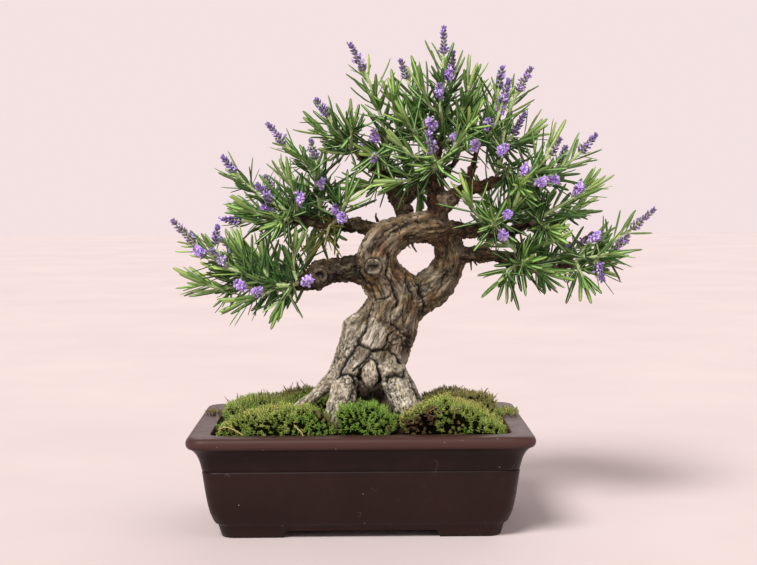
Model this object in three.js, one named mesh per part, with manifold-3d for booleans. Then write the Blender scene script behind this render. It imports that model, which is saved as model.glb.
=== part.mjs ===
// A rosemary bonsai in a rectangular pot: a forked woody tree, sprays of needle leaves, flower spikes, soil
// and moss.
// Millimetres, +Z up. The pot stands on z = 0 with its long side along X and its front towards -Y.
import * as THREE from "three";
import { mergeVertices } from "three/addons/utils/BufferGeometryUtils.js";
import Module from "manifold-3d";

const wasm = await Module();
wasm.setup();

// Driving dimensions
const GAP = 0.35; // clearance that touching pieces keep
const SHORTEST_EDGE = 0.02;

const POT = {
  width: 215, depth: 162, height: 65, corner: 11, wall: 4, rim: 14.5, floorLow: 8, floorHigh: 11.5,
};
const FOOT = { halfGapX: 46, halfGapY: 30, slant: 3, lift: 4.6 };
const DRAIN = { radius: 9, x: 45, screen: 30, thickness: 1, hole: 6, pitch: 9 };
const SOIL = { low: POT.floorHigh + 2 * GAP + DRAIN.thickness, edge: 58, crown: 72 };
const LEAF = { length: 23, width: 2.6, thickness: 1.2, widest: 0.42, clearRadius: 1.2 };
const LEAF_PAIRS = { pitch: 29.5, first: 6, sunk: 1.5 }; // along a shoot, from its root to short of its end
const STEM = { base: 1.7, tip: 1.0, fork: 0.55 };
const SPIKE = { core: 1.2, floret: 2.7, rows: 6, sides: 4 };
const BLOOM = { radius: 3.4 };

const COLOUR = {
  pot: 0x35221f,
  screen: 0x20211f,
  soil: 0x33261a,
  moss: 0x6d9a2c,
  bark: 0x86705a,
  leaf: 0x477a33,
  flower: 0x8a6cc8,
};

// A repeatable number from 0 to 1 for three whole numbers
function draw(a, b, c) {
  const s = Math.sin(a * 127.1 + b * 311.7 + c * 74.7) * 43758.5453;
  return s - Math.floor(s);
}

const point = (p) => new THREE.Vector3(p[0], p[1], p[2]);
const lerp = (a, b, t) => a + (b - a) * t;

// A closed three.js geometry as a solid that can be joined and cut
function solid(geometry) {
  const bare = geometry.clone();
  bare.deleteAttribute("normal");
  bare.deleteAttribute("uv");
  const merged = mergeVertices(bare, 1e-4);
  const make = (triVerts) =>
    new wasm.Manifold(
      new wasm.Mesh({ numProp: 3, vertProperties: merged.attributes.position.array, triVerts }),
    );
  const faces = new Uint32Array(merged.index.array);
  const made = make(faces);
  if (made.volume() > 0) return made;
  for (let i = 0; i < faces.length; i += 3) [faces[i], faces[i + 1]] = [faces[i + 1], faces[i]];
  return make(faces);
}

function join(solids) {
  let list = solids;
  while (list.length > 1) {
    const next = [];
    for (let i = 0; i < list.length; i += 2) {
      const pair = i + 1 < list.length;
      next.push(pair ? list[i].add(list[i + 1]) : list[i]);
    }
    list = next;
  }
  return list[0];
}

// The largest body left after a cut, without edges too short to matter
function largest(made) {
  const bodies = made.simplify(SHORTEST_EDGE).decompose();
  return bodies.reduce((a, b) => (a.volume() > b.volume() ? a : b));
}

function toGeometry(made) {
  const mesh = made.getMesh();
  const geometry = new THREE.BufferGeometry();
  geometry.setAttribute("position", new THREE.BufferAttribute(new Float32Array(mesh.vertProperties), 3));
  geometry.setIndex(new THREE.BufferAttribute(new Uint32Array(mesh.triVerts), 1));
  geometry.computeVertexNormals();
  return geometry;
}

// A tube through stations [x, y, z, radius], closed at both ends. swell(angle, share) scales its radius for
// ridges, and grow widens it all round for a clearance.
function limb(stations, sides, steps, swell = () => 1, grow = 0) {
  const curve = new THREE.CatmullRomCurve3(stations.map(point), false, "centripetal");
  const radii = new THREE.CatmullRomCurve3(
    stations.map((s, i) => new THREE.Vector3(i / (stations.length - 1), s[3], 0)),
    false,
    "centripetal",
  );
  const frames = curve.computeFrenetFrames(steps, false);
  const geometry = new THREE.CylinderGeometry(1, 1, 1, sides, steps);
  const position = geometry.attributes.position;
  const place = new THREE.Vector3();
  for (let i = 0; i < position.count; i++) {
    const share = position.getY(i) + 0.5;
    const step = Math.round(share * steps);
    const [x, z] = [position.getX(i), position.getZ(i)];
    const u = curve.getUtoTmapping(step / steps);
    const radius = radii.getPoint(u).y * swell(Math.atan2(x, z), step / steps) + grow;
    const end = step === 0 ? -grow : step === steps ? grow : 0;
    place.copy(curve.getPoint(u));
    place.addScaledVector(frames.normals[step], x * radius);
    place.addScaledVector(frames.binormals[step], z * radius);
    place.addScaledVector(frames.tangents[step], end);
    position.setXYZ(i, place.x, place.y, place.z);
  }
  return solid(geometry);
}

// Pot, drainage screens and soil share one rounded rectangle, drawn in by an inset and scaled to the middle
const CORNER_STEPS = 3;
const OUTLINE_SIDES = 4 * (CORNER_STEPS + 1);

function outline(index, inset, scale) {
  const corner = Math.floor(index / (CORNER_STEPS + 1)) % 4;
  const turn = ((corner + (index % (CORNER_STEPS + 1)) / CORNER_STEPS) * Math.PI) / 2;
  const round = POT.corner - inset * 0.12;
  const sx = corner === 0 || corner === 3 ? 1 : -1;
  const sy = corner < 2 ? 1 : -1;
  const x = sx * (POT.width / 2 - inset - round) + round * Math.cos(turn);
  const y = sy * (POT.depth / 2 - inset - round) + round * Math.sin(turn);
  return [x * scale, y * scale];
}

// A solid of rounded rectangles: stations are [inset, z, scale], from the bottom's middle to the top's middle
function basin(stations) {
  const profile = stations.map((s, i) => new THREE.Vector2(s[2] === 0 ? 0 : 1, i));
  const geometry = new THREE.LatheGeometry(profile, OUTLINE_SIDES);
  const position = geometry.attributes.position;
  for (let i = 0; i < position.count; i++) {
    const [inset, z, scale] = stations[i % stations.length];
    const [x, y] = outline(Math.floor(i / stations.length) % OUTLINE_SIDES, inset, scale);
    position.setXYZ(i, x, y, z);
  }
  return solid(geometry);
}

function pot() {
  const inner = (outerInset) => outerInset + POT.wall;
  const shell = basin([
    [0, POT.floorLow, 0],
    [29, POT.floorLow, 1],
    [28, 0, 1],
    [20.5, 0, 1],
    [18.2, POT.floorLow, 1],
    [16.2, 9.7, 1],
    [13.6, 16, 1],
    [11.3, 27, 1],
    [9.2, 42.6, 1],
    [9.7, 43.1, 1],
    [9, 43.6, 1],
    [7.2, 51, 1],
    [3.8, 56.4, 1],
    [1, 57.9, 1],
    [0, 61, 1],
    [1.7, POT.height, 1],
    [POT.rim, POT.height, 1],
    [inner(9), 44, 1],
    [inner(13.6), 16, 1],
    [21, POT.floorHigh, 1],
    [0, POT.floorHigh, 0],
  ]);
  // The feet are what is left of the base ring after a slanted notch in each side
  const notch = (halfWidth, length, turn) => {
    const shape = new THREE.Shape();
    shape.moveTo(-halfWidth - FOOT.slant, -1);
    shape.lineTo(halfWidth + FOOT.slant, -1);
    shape.lineTo(halfWidth, FOOT.lift);
    shape.lineTo(-halfWidth, FOOT.lift);
    const geometry = new THREE.ExtrudeGeometry(shape, { depth: length, bevelEnabled: false });
    geometry.translate(0, 0, -length / 2);
    geometry.rotateX(Math.PI / 2);
    geometry.rotateZ(turn);
    return solid(geometry);
  };
  const drains = [-DRAIN.x, DRAIN.x].map((x) => {
    const geometry = new THREE.CylinderGeometry(DRAIN.radius, DRAIN.radius, 20, 14);
    geometry.rotateX(Math.PI / 2);
    geometry.translate(x, 0, POT.floorHigh);
    return solid(geometry);
  });
  return shell
    .subtract(notch(FOOT.halfGapX, POT.depth, 0))
    .subtract(notch(FOOT.halfGapY, POT.width, Math.PI / 2))
    .subtract(drains[0])
    .subtract(drains[1]);
}

// A square of mesh over a drainage hole
function screen(x) {
  const z = POT.floorHigh + GAP + DRAIN.thickness / 2;
  const plate = new THREE.BoxGeometry(DRAIN.screen, DRAIN.screen, DRAIN.thickness).translate(x, 0, z);
  let made = solid(plate);
  for (let i = -1; i <= 1; i++)
    for (let j = -1; j <= 1; j++) {
      const hole = new THREE.BoxGeometry(DRAIN.hole, DRAIN.hole, DRAIN.thickness * 3);
      made = made.subtract(solid(hole.translate(x + i * DRAIN.pitch, j * DRAIN.pitch, z)));
    }
  return made;
}

// The soil fills the pot and rises to the trunk
function soil(lift = 0) {
  const clear = (inset) => inset + GAP;
  return basin([
    [0, SOIL.low, 0],
    [clear(21), SOIL.low, 1],
    [clear(13.6 + POT.wall), 17, 1],
    [clear(9 + POT.wall), 44, 1],
    [clear(POT.rim + 0.5), SOIL.edge + lift, 1],
    [clear(POT.rim), SOIL.edge + 3 + lift, 0.84],
    [clear(POT.rim), lerp(SOIL.edge, SOIL.crown, 0.65) + lift, 0.55],
    [0, SOIL.crown + lift, 0],
  ]);
}

// The tree's woody limbs as stations [x, y, z, radius], trunk first, then arms, branches, roots and old cuts
const LIMBS = {
  trunk: [
    [5, 4, 50, 17], [5, 5, 66, 15.5], [4, 5, 80, 15.5], [4, 2, 92, 19.5], [6, 0, 102, 22],
    [11, 0, 116, 22.8], [18, 0, 130, 19.4], [22.5, 0, 141, 17.2], [25, 0, 150, 15],
  ],
  arm_left: [
    [23, -1, 139, 15.2], [18, -3, 152, 14.7], [12, -5, 164, 13.3], [12, -6, 175, 12],
    [19, -6, 184, 11.7], [29, -5, 189, 10.4], [40, -4, 191, 10.7], [51, -3, 191, 9.1],
  ],
  arm_right: [
    [27, 2, 138, 13.1], [43, 5, 148, 12.4], [55, 7, 159, 11.1],
    [59, 7, 170, 10.2], [58, 5, 180, 9.2], [54, 1, 188, 7.8],
  ],
  apex: [
    [50, -4, 183, 7], [50, -4, 193, 7.1], [50, -4, 205, 5.8], [50, -3, 217, 4.9],
    [49, -1, 230, 3.9], [52, 2, 242, 2.9], [55, 4, 252, 2.2],
  ],
  branch_left_low: [
    [10, -5, 162, 9.7], [-4, -7, 164, 8.7], [-14, -8, 163, 8.1], [-25, -9, 161, 7.7],
    [-33, -10, 156, 5.8], [-41, -11, 154, 3.5], [-46, -12, 153, 2.6],
  ],
  branch_left_mid: [
    [18, 0, 184, 6.4], [4, 10, 191, 5.1], [-10, 15, 192, 4.5],
    [-25, 17, 193, 3.8], [-39, 14, 195, 3], [-49, 9, 196, 2.3],
  ],
  branch_left_up: [
    [32, 2, 190, 6.5], [28, 18, 205, 6], [22, 26, 216, 5],
    [14, 28, 226, 4], [6, 26, 233, 3], [-1, 22, 238, 2.2],
  ],
  branch_back: [
    [27, 17, 204, 5], [38, 32, 215, 4], [51, 46, 221, 3.4], [62, 58, 229, 2.8], [68, 66, 236, 2.2],
  ],
  branch_right_up: [
    [51, -4, 201, 5.2], [60, -7, 210, 5.2], [69, -8, 215, 4.3],
    [79, -8, 217, 3.7], [89, -9, 220, 3], [98, -10, 222, 2.2],
  ],
  twig_upper_right: [
    [68, -8, 214, 3.4], [72, -6, 224, 2.8], [74, -4, 232, 2.3], [76, -4, 239, 1.9],
  ],
  branch_right_mid: [
    [54, -2, 190, 5.6], [68, -1, 189, 4.6], [83, -2, 187, 3.6], [99, -5, 188, 3], [111, -8, 192, 2.2],
  ],
  branch_right_low: [
    [60, 6, 170, 6.6], [75, 1, 173, 4.9], [86, -2, 172, 4.2], [100, -4, 167, 4], [114, -5, 164, 3.5],
    [130, -6, 164, 2.6], [138, -7, 166, 2.1],
  ],
  branch_back_right: [
    [57, 6, 181, 6], [65, 20, 187, 5], [76, 40, 186, 4], [90, 56, 187, 3], [101, 66, 191, 2.2],
  ],
  root_left: [
    [-1, -3, 111, 11], [-9, -5, 101, 9.4], [-18, -8, 92, 6.6],
    [-27, -12, 84.5, 4.4], [-36, -18, 78, 3.8], [-48, -27, 70, 3.2], [-56, -33, 62, 2.6],
  ],
  root_centre_left: [
    [0, -6, 116, 13], [-5.5, -14, 104, 10.2], [-9.5, -21, 93, 8.4],
    [-11.5, -27, 83, 8.4], [-15.5, -33, 74, 7.8], [-21, -39, 63, 5],
  ],
  root_centre: [
    [8, -11, 107, 11], [6, -16, 98, 9.6], [6, -17.5, 91, 6.4],
  ],
  root_right: [
    [12, -4, 118, 13], [16, -10, 106, 11], [20, -16, 96, 9.3],
    [24.4, -22, 86, 8.8], [28.5, -28, 77, 8], [35, -34, 64, 5],
  ],
  root_right_back: [
    [15.5, 4, 112, 10.5], [20, 5, 101, 8.2], [25.5, 5, 91, 6.8], [32.5, 6, 80, 5.7], [41, 8, 66, 4.4],
  ],
  root_back_left: [
    [0, 8, 108, 12], [-10, 16, 94, 9], [-20, 25, 82, 7.5], [-30, 33, 71, 5.5], [-38, 40, 61, 3.5],
  ],
  root_back_right: [
    [12, 10, 108, 12], [18, 20, 92, 9], [25, 30, 79, 7], [33, 40, 64, 4.5],
  ],
  burl_left: [[12, -2, 125, 13], [2, -4, 125, 10], [-3.6, -5, 123.4, 8.2]],
  knot_arm: [[12, -8, 165, 10], [8.5, -18.3, 165.4, 5.8]],
  knot_left_low: [[-25, -9, 161, 7], [-29, -16.5, 157, 6]],
  stub_right_up: [[60, -7, 209, 5], [53.5, -13, 208, 4.5]],
};

// Thick limbs have more sides and fluted bark
function limbDetail(name) {
  const thick = LIMBS[name][0][3];
  if (name === "trunk") return { sides: 16, steps: 8 };
  if (name.startsWith("arm")) return { sides: 11, steps: 7 };
  if (name.startsWith("root")) return { sides: 6, steps: 4 };
  if (LIMBS[name].length < 4) return { sides: 6, steps: 1 };
  return { sides: thick > 6 ? 6 : 5, steps: 5 };
}

function tree(grow = 0) {
  const solids = Object.keys(LIMBS).map((name, index) => {
    const { sides, steps } = limbDetail(name);
    const depth = sides > 10 ? 0.05 : 0.02;
    const flutes = sides > 14 ? 6 : 4;
    const swell = (angle, share) => {
      const fluted = Math.sin(flutes * angle + 5 * share + index);
      return 1 + depth * (fluted + 0.6 * Math.sin(2 * angle - 9 * share));
    };
    return limb(LIMBS[name], sides, steps, swell, grow);
  });
  return join(solids);
}

// Cushions of moss: middle, half sizes, crest heights at even steps from left to right, and the lumps' seed
const MOSS = {
  moss_front_left: { at: [-52, -43], half: [42, 27], crest: [70, 77, 79.5, 81, 81], seed: 11 },
  moss_front_centre: { at: [2, -50], half: [23, 19], crest: [82, 83, 83, 83, 82], seed: 12 },
  moss_front_right: { at: [56, -41], half: [40, 29], crest: [79, 82.5, 84.5, 77.5, 67], seed: 13 },
  moss_back_left: { at: [-56, 25], half: [41, 44], crest: [80, 78.5, 77, 86, 87], seed: 14 },
  moss_back_right: { at: [65, 31], half: [35, 45], crest: [79, 80, 80.5, 79, 75], seed: 15 },
  moss_back_centre: { at: [6, 50], half: [33, 22], crest: [82, 83, 83, 82, 81], seed: 16 },
};
const MOSS_ROOT = 54; // moss is shaped down to this height, then cut by the soil's surface
const MOSS_INSET = 1.6; // from the rim's inner edge

// Height of a crest at a place from -1 to 1 across it
function crestAt(crest, place) {
  const step = ((place + 1) / 2) * (crest.length - 1);
  const i = Math.min(Math.max(Math.floor(step), 0), crest.length - 2);
  return lerp(crest[i], crest[i + 1], step - i);
}

function cushion({ at, half, crest, seed }, grow = 0) {
  const geometry = new THREE.SphereGeometry(1, 12, 6);
  geometry.rotateX(Math.PI / 2);
  const position = geometry.attributes.position;
  for (let i = 0; i < position.count; i++) {
    const [x, y, z] = [position.getX(i), position.getY(i), position.getZ(i)];
    const angle = Math.atan2(y, x);
    const wave = 1 + 0.07 * Math.sin(3 * angle + seed) + 0.05 * Math.sin(5 * angle - seed * 2);
    const lump = 1.6 * Math.sin(x * 5 + seed) * Math.cos(y * 4 - seed);
    const square = Math.max(Math.abs(x), Math.abs(y), 1e-6);
    const spread = lerp(1, Math.hypot(x, y) / square, 0.55);
    const rise = (crestAt(crest, x) - SOIL.edge + lump) * Math.max(z, 0) ** 0.6 + grow;
    const height = z > 0 ? rise : (SOIL.edge - MOSS_ROOT) * z;
    position.setXYZ(
      i,
      at[0] + x * spread * (half[0] + grow) * wave,
      at[1] + y * spread * (half[1] + grow) * wave,
      SOIL.edge + height,
    );
  }
  return solid(geometry);
}

// Inside of the pot's rim, which the moss keeps to
function rimInside() {
  return basin([
    [0, MOSS_ROOT - 4, 0],
    [POT.rim + MOSS_INSET, MOSS_ROOT - 4, 1],
    [POT.rim + MOSS_INSET, 110, 1],
    [0, 110, 0],
  ]);
}

// Leafy sprays. Each is a list of shoots, the first rooted in the tree and the others on an earlier shoot.
// through: points of the stem. spike: tip of the flower spike that stands on its end, and fused where the
// spike is part of the spray. blooms: flowers among the leaves, each on the spray's nearest stem.
const SPRAYS = {
  spray_left_low_outer: {
    shoots: [
      { through: [[-43, -11, 153], [-60, -12, 152], [-77, -13, 153], [-87, -18, 152], [-100, -24, 156]] },
      { through: [[-68, -12, 153], [-84, -14, 165], [-105, -18, 181]], spike: [-120, -20, 197] },
      { through: [[-78, -13, 160], [-88, -9, 169], [-94, -6, 179]], spike: [-92, -4, 193] },
      { through: [[-62, -12, 152], [-71, -2, 164], [-78, 4, 176]] },
      { through: [[-58, -12, 152], [-62, 2, 162], [-64, 10, 172]] },
    ],
    blooms: [[-103, -20, 176]],
  },
  spray_left_low_front: {
    shoots: [
      {
        through: [[-36, -10, 156], [-48, -19, 154], [-62, -24, 157], [-73, -27, 162], [-83, -29, 166]],
        spike: [-95, -32, 179],
      },
      { through: [[-50, -20, 154], [-63, -26, 149], [-74, -29, 145]] },
      { through: [[-43, -15, 155], [-47, -22, 149], [-50, -25, 144]] },
      { through: [[-40, -12, 155], [-43, -10, 165], [-42, -7, 176]] },
    ],
    blooms: [[-76, -31, 155], [-66, -31, 153], [-34, -19, 157]],
  },
  spray_left_low_back: {
    shoots: [
      {
        through: [[-33, -9, 157], [-43, 6, 159], [-56, 18, 161], [-72, 28, 166], [-84, 34, 173]],
        spike: [-95, 37, 184], fused: true,
      },
      { through: [[-47, 10, 159], [-54, 27, 158], [-58, 42, 163]] },
      { through: [[-62, 22, 162], [-78, 20, 158], [-92, 16, 161]] },
      { through: [[-39, 1, 158], [-36, 14, 165], [-34, 24, 174]] },
    ],
    blooms: [[-72, 33, 172]],
  },
  spray_left_mid_outer: {
    shoots: [
      { through: [[-47, 10, 196], [-58, 6, 198], [-70, -2, 201]] },
      { through: [[-53, 8, 197], [-63, 9, 209], [-72, 7, 218], [-80, 5, 226]], spike: [-90, 4, 238] },
      { through: [[-52, 8, 197], [-65, 17, 194], [-78, 20, 195]], spike: [-92, 22, 196], fused: true },
    ],
    blooms: [[-60, 3, 204]],
  },
  spray_left_mid_front: {
    shoots: [
      { through: [[-39, 13, 195], [-44, 4, 198], [-50, 0, 203], [-56, -3, 207]], spike: [-67, -6, 220] },
      { through: [[-43, 6, 197], [-41, 1, 208], [-46, -3, 222]] },
      { through: [[-44, 4, 198], [-48, -8, 196], [-51, -20, 195]] },
    ],
    blooms: [[-35, -4, 209]],
  },
  spray_left_mid_upper: {
    shoots: [
      {
        through: [[-25, 16, 194], [-27, 12, 211], [-31, 8, 228], [-40, 5, 237], [-48, 4, 244]],
        spike: [-60, 2, 259],
      },
      { through: [[-26, 14, 203], [-24, 24, 219], [-29, 28, 235]], spike: [-33, 30, 250], fused: true },
    ],
    blooms: [[-22, 6, 222]],
  },
  spray_left_mid_inner: {
    shoots: [
      { through: [[-9, 14, 193], [-13, 5, 199], [-8, -4, 208]] },
      { through: [[-12, 8, 197], [-19, 0, 192], [-22, -8, 184]] },
      { through: [[-11, 10, 196], [-12, 26, 203], [-17, 41, 211]] },
    ],
    blooms: [[-19, -2, 203], [-12, -8, 196]],
  },
  spray_left_mid_back: {
    shoots: [
      { through: [[-30, 17, 194], [-40, 27, 199], [-50, 33, 206], [-57, 36, 212]], spike: [-64, 40, 226] },
      { through: [[-40, 27, 199], [-56, 38, 196], [-72, 44, 200]] },
      { through: [[-36, 23, 197], [-37, 40, 203], [-41, 54, 212]] },
      { through: [[-33, 20, 195], [-26, 34, 190], [-22, 48, 188]] },
    ],
    blooms: [[-50, 44, 203]],
  },
  spray_crown_left: {
    shoots: [
      { through: [[0, 22, 237], [-8, 19, 246], [-15, 17, 255], [-20, 16, 263]], spike: [-29, 14, 276] },
      { through: [[-5, 20, 243], [-14, 27, 247], [-24, 32, 253]] },
      { through: [[-5, 20, 243], [-5, 10, 250], [-5, 2, 257]] },
      { through: [[-3, 21, 240], [-12, 13, 239], [-21, 6, 240]] },
    ],
    blooms: [[10, 4, 249]],
  },
  spray_crown_left_tall: {
    shoots: [
      {
        through: [[15, 27, 227], [18, 17, 240], [16, 9, 256], [12, 5, 270], [8, 2, 282], [4, 1, 291]],
        spike: [-6, -2, 310],
      },
      { through: [[18, 17, 240], [27, 13, 249], [26, 4, 261], [22, -3, 273]] },
      { through: [[18, 18, 239], [12, 4, 238], [8, -10, 237]] },
    ],
    blooms: [[9, 0, 236]],
  },
  spray_crown_top: {
    shoots: [
      { through: [[55, 4, 251], [53, 0, 268], [54, -2, 284], [55, -3, 301]], spike: [55, -4, 321] },
      { through: [[54, 3, 258], [58, 11, 269], [60, 13, 282], [60, 13, 291]], spike: [62, 13, 306] },
      { through: [[54, 2, 261], [45, -4, 270], [40, -8, 281]] },
    ],
    blooms: [[50, -9, 278], [61, -4, 289]],
  },
  spray_crown_top_left: {
    shoots: [
      { through: [[49, 1, 236], [44, 9, 250], [39, 15, 267], [32, 20, 287]], spike: [27, 21, 302] },
      { through: [[45, 8, 248], [44, 24, 259], [42, 38, 270]] },
      { through: [[46, 6, 245], [36, -4, 251], [30, -14, 259]] },
    ],
    blooms: [[47, -10, 257]],
  },
  spray_crown_top_right: {
    shoots: [
      { through: [[52, 2, 244], [61, 0, 249], [66, -5, 263], [71, -8, 282]] },
      { through: [[61, 0, 249], [70, 9, 258], [76, 16, 270]] },
      { through: [[61, 0, 249], [68, -14, 252], [70, -26, 256]] },
    ],
    blooms: [[60, -10, 246]],
  },
  spray_crown_front: {
    shoots: [
      { through: [[49, -4, 226], [48, -16, 229], [48, -28, 232], [46, -37, 236]], spike: [43, -42, 252] },
      { through: [[48, -14, 229], [37, -20, 235], [26, -24, 243]] },
      { through: [[48, -16, 229], [57, -24, 237], [62, -32, 246]] },
      { through: [[49, -10, 228], [35, -10, 222], [24, -12, 220]] },
    ],
    blooms: [[73, -22, 242]],
  },
  spray_upper_right: {
    shoots: [
      {
        through: [[75.5, -4, 238], [81, 0, 251], [86, 2, 261], [89, 4, 270], [91, 6, 280]],
        spike: [94, 8, 296],
      },
      { through: [[79, -2, 246], [84, -10, 251], [88, -14, 259], [91, -16, 269]], spike: [96, -18, 286] },
      { through: [[80, -1, 249], [91, 12, 245], [102, 25, 250]], spike: [112, 32, 267] },
    ],
    blooms: [[91, -8, 267], [79, -12, 259], [91, -20, 240]],
  },
  spray_upper_right_outer: {
    shoots: [
      { through: [[88, -9, 220], [91, -8, 238], [95, -5, 258], [102, -4, 277]], spike: [112, -4, 294] },
      { through: [[90, -8, 232], [103, -20, 222], [113, -26, 229], [121, -30, 241]] },
      { through: [[92, -10, 231], [98, -22, 216], [101, -34, 217]] },
      { through: [[92, -7, 243], [102, 4, 245], [111, 8, 250]] },
    ],
    blooms: [[105, -31, 227], [115, -28, 219]],
  },
  spray_right_upper_tip: {
    shoots: [
      {
        through: [[97, -10, 222], [108, -9, 220], [120, -6, 222], [131, -4, 228], [143, -2, 238]],
        spike: [155, 0, 251],
      },
      { through: [[108, -9, 220], [114, -3, 228], [124, 3, 236]], spike: [132, 5, 249] },
      { through: [[116, -7, 221], [124, 6, 224], [132, 14, 231]], spike: [137, 18, 244], fused: true },
      { through: [[104, -9, 221], [108, 8, 218], [114, 24, 220]] },
    ],
    blooms: [[125, -16, 221]],
  },
  spray_right_mid: {
    shoots: [
      { through: [[110, -8, 192], [124, -8, 201], [137, -8, 208], [147, -8, 215]] },
      { through: [[116, -8, 195], [117, -20, 191], [119, -31, 189]] },
      { through: [[122, -8, 199], [134, 4, 198], [145, 14, 202]] },
      { through: [[116, -8, 195], [116, 8, 199], [119, 24, 205]] },
    ],
    blooms: [[140, -11, 217]],
  },
  spray_right_mid_front: {
    shoots: [
      { through: [[82, -2, 187], [85, -13, 190], [85, -25, 192], [84, -35, 195]] },
      { through: [[85, -12, 190], [94, -20, 197], [99, -26, 205]] },
      { through: [[85, -12, 190], [76, -20, 198], [70, -26, 207]] },
    ],
    blooms: [[93, -34, 199], [90, -37, 186]],
  },
  spray_right_low_tip: {
    shoots: [
      {
        through: [[137, -7, 166], [147, -8, 172], [158, -8, 177], [168, -8, 184], [175, -8, 188]],
        spike: [191, -10, 202],
      },
      { through: [[143, -8, 170], [150, -15, 171], [159, -21, 174]] },
      { through: [[152, -8, 174], [158, 1, 172], [166, 6, 175]], spike: [178, 9, 185] },
      { through: [[148, -12, 171], [153, -14, 168]], spike: [156, -18, 155], fused: true },
      { through: [[141, -8, 169], [145, 5, 172], [152, 14, 180]] },
      { through: [[140, -8, 168], [141, -16, 163], [142, -22, 158]] },
    ],
    blooms: [[151, -16, 184]],
  },
  spray_right_low_front: {
    shoots: [
      { through: [[100, -4, 168], [103, -15, 167], [105, -28, 168]] },
      { through: [[102, -13, 167], [112, -20, 164], [119, -26, 161]] },
      { through: [[102, -12, 167], [95, -19, 163], [92, -25, 158]] },
      { through: [[101, -8, 168], [110, -12, 176], [120, -15, 181]] },
    ],
    blooms: [],
  },
  spray_right_low_back: {
    shoots: [
      { through: [[114, -4, 165], [121, 9, 166], [133, 19, 170], [146, 26, 176]], spike: [158, 31, 186] },
      { through: [[120, 7, 166], [120, 24, 163], [124, 38, 167]] },
      { through: [[116, 0, 166], [106, 12, 172], [98, 22, 179]] },
      { through: [[128, 15, 168], [142, 14, 163], [156, 12, 163]] },
    ],
    blooms: [[136, 24, 178]],
  },
  spray_back_crown: {
    shoots: [
      { through: [[67, 65, 235], [71, 69, 246], [74, 71, 258]], spike: [77, 74, 274] },
      { through: [[69, 67, 240], [57, 72, 246], [46, 76, 252]] },
      { through: [[69, 67, 241], [83, 64, 246], [96, 60, 252]] },
      { through: [[70, 68, 243], [62, 54, 252], [57, 42, 262]] },
    ],
    blooms: [[80, 70, 254]],
  },
  spray_back_left: {
    shoots: [
      {
        through: [[51, 47, 221], [38, 54, 223], [24, 60, 228], [12, 66, 236]],
        spike: [2, 71, 248], fused: true,
      },
      { through: [[38, 54, 223], [30, 46, 234], [24, 40, 246]] },
      { through: [[28, 58, 226], [14, 52, 220], [1, 50, 217]] },
      { through: [[40, 53, 223], [42, 64, 216], [42, 76, 212]] },
    ],
    blooms: [[18, 68, 242]],
  },
  spray_back_right: {
    shoots: [
      { through: [[100, 65, 191], [108, 69, 200], [115, 71, 211]], spike: [121, 73, 226] },
      { through: [[102, 67, 193], [116, 62, 190], [130, 56, 191]] },
      { through: [[103, 67, 195], [92, 72, 204], [82, 74, 214]] },
      { through: [[102, 66, 193], [99, 74, 185], [94, 80, 180]] },
      { through: [[105, 67, 197], [112, 54, 204], [118, 42, 213]] },
    ],
    blooms: [[120, 66, 202]],
  },
};

// What is placed so far, as round-ended rods, so that later leaves keep clear of other nodes
const placed = [];

function rod(from, to, radius, owner, kind) {
  const reach = from.distanceTo(to) / 2 + radius;
  return { from, to, radius, owner, kind, middle: from.clone().lerp(to, 0.5), reach };
}

// Shortest distance between two straight rods' axes
function axisDistance(p, q) {
  const d1 = p.to.clone().sub(p.from);
  const d2 = q.to.clone().sub(q.from);
  const r = p.from.clone().sub(q.from);
  const [a, e, f, b, c] = [d1.dot(d1), d2.dot(d2), d2.dot(r), d1.dot(d2), d1.dot(r)];
  const clamp = (t) => Math.min(Math.max(t, 0), 1);
  const spread = a * e - b * b;
  let s = spread > 1e-9 ? clamp((b * f - c * e) / spread) : 0;
  let t = e > 1e-9 ? clamp((b * s + f) / e) : 0;
  s = a > 1e-9 ? clamp((b * t - c) / a) : 0;
  t = e > 1e-9 ? clamp((b * s + f) / e) : 0;
  const gap = r.addScaledVector(d1, s).addScaledVector(d2, -t);
  return gap.length();
}

// A leaf keeps a gap to every other node, and doesn't cross the leaves and flowers of its own spray
function isClear(candidate) {
  return placed.every((other) => {
    const own = other.owner === candidate.owner;
    if (own && other.kind === "stem") return true;
    if (other.middle.distanceTo(candidate.middle) > other.reach + candidate.reach + GAP) return true;
    const needed = own ? LEAF.thickness : other.radius + candidate.radius + GAP;
    return axisDistance(candidate, other) > needed;
  });
}

const stemCurve = (shoot) => new THREE.CatmullRomCurve3(shoot.through.map(point), false, "centripetal");

function stemSolid(shoot, first) {
  const count = shoot.through.length;
  const stations = shoot.through.map((p, i) => [...p, lerp(STEM.base, STEM.tip, i / (count - 1))]);
  if (!first) stations[0][3] = STEM.fork;
  return limb(stations, 3, Math.max(2, count - 1));
}

// One needle leaf: a three-sided blade, widest near its middle, with its ridge turned to side
function needle(root, direction, side, length) {
  const profile = [[0, 0], [1, LEAF.widest], [0, 1]].map(([x, y]) => new THREE.Vector2(x, y));
  const geometry = new THREE.LatheGeometry(profile, 3);
  const across = direction.clone().cross(side).normalize();
  const ridge = across.clone().cross(direction).normalize();
  const position = geometry.attributes.position;
  const place = new THREE.Vector3();
  for (let i = 0; i < position.count; i++) {
    place.copy(root);
    place.addScaledVector(direction, position.getY(i) * length);
    place.addScaledVector(across, position.getX(i) * (LEAF.width / 1.732));
    place.addScaledVector(ridge, position.getZ(i) * (LEAF.thickness / 1.5));
    position.setXYZ(i, place.x, place.y, place.z);
  }
  return solid(geometry);
}

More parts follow.
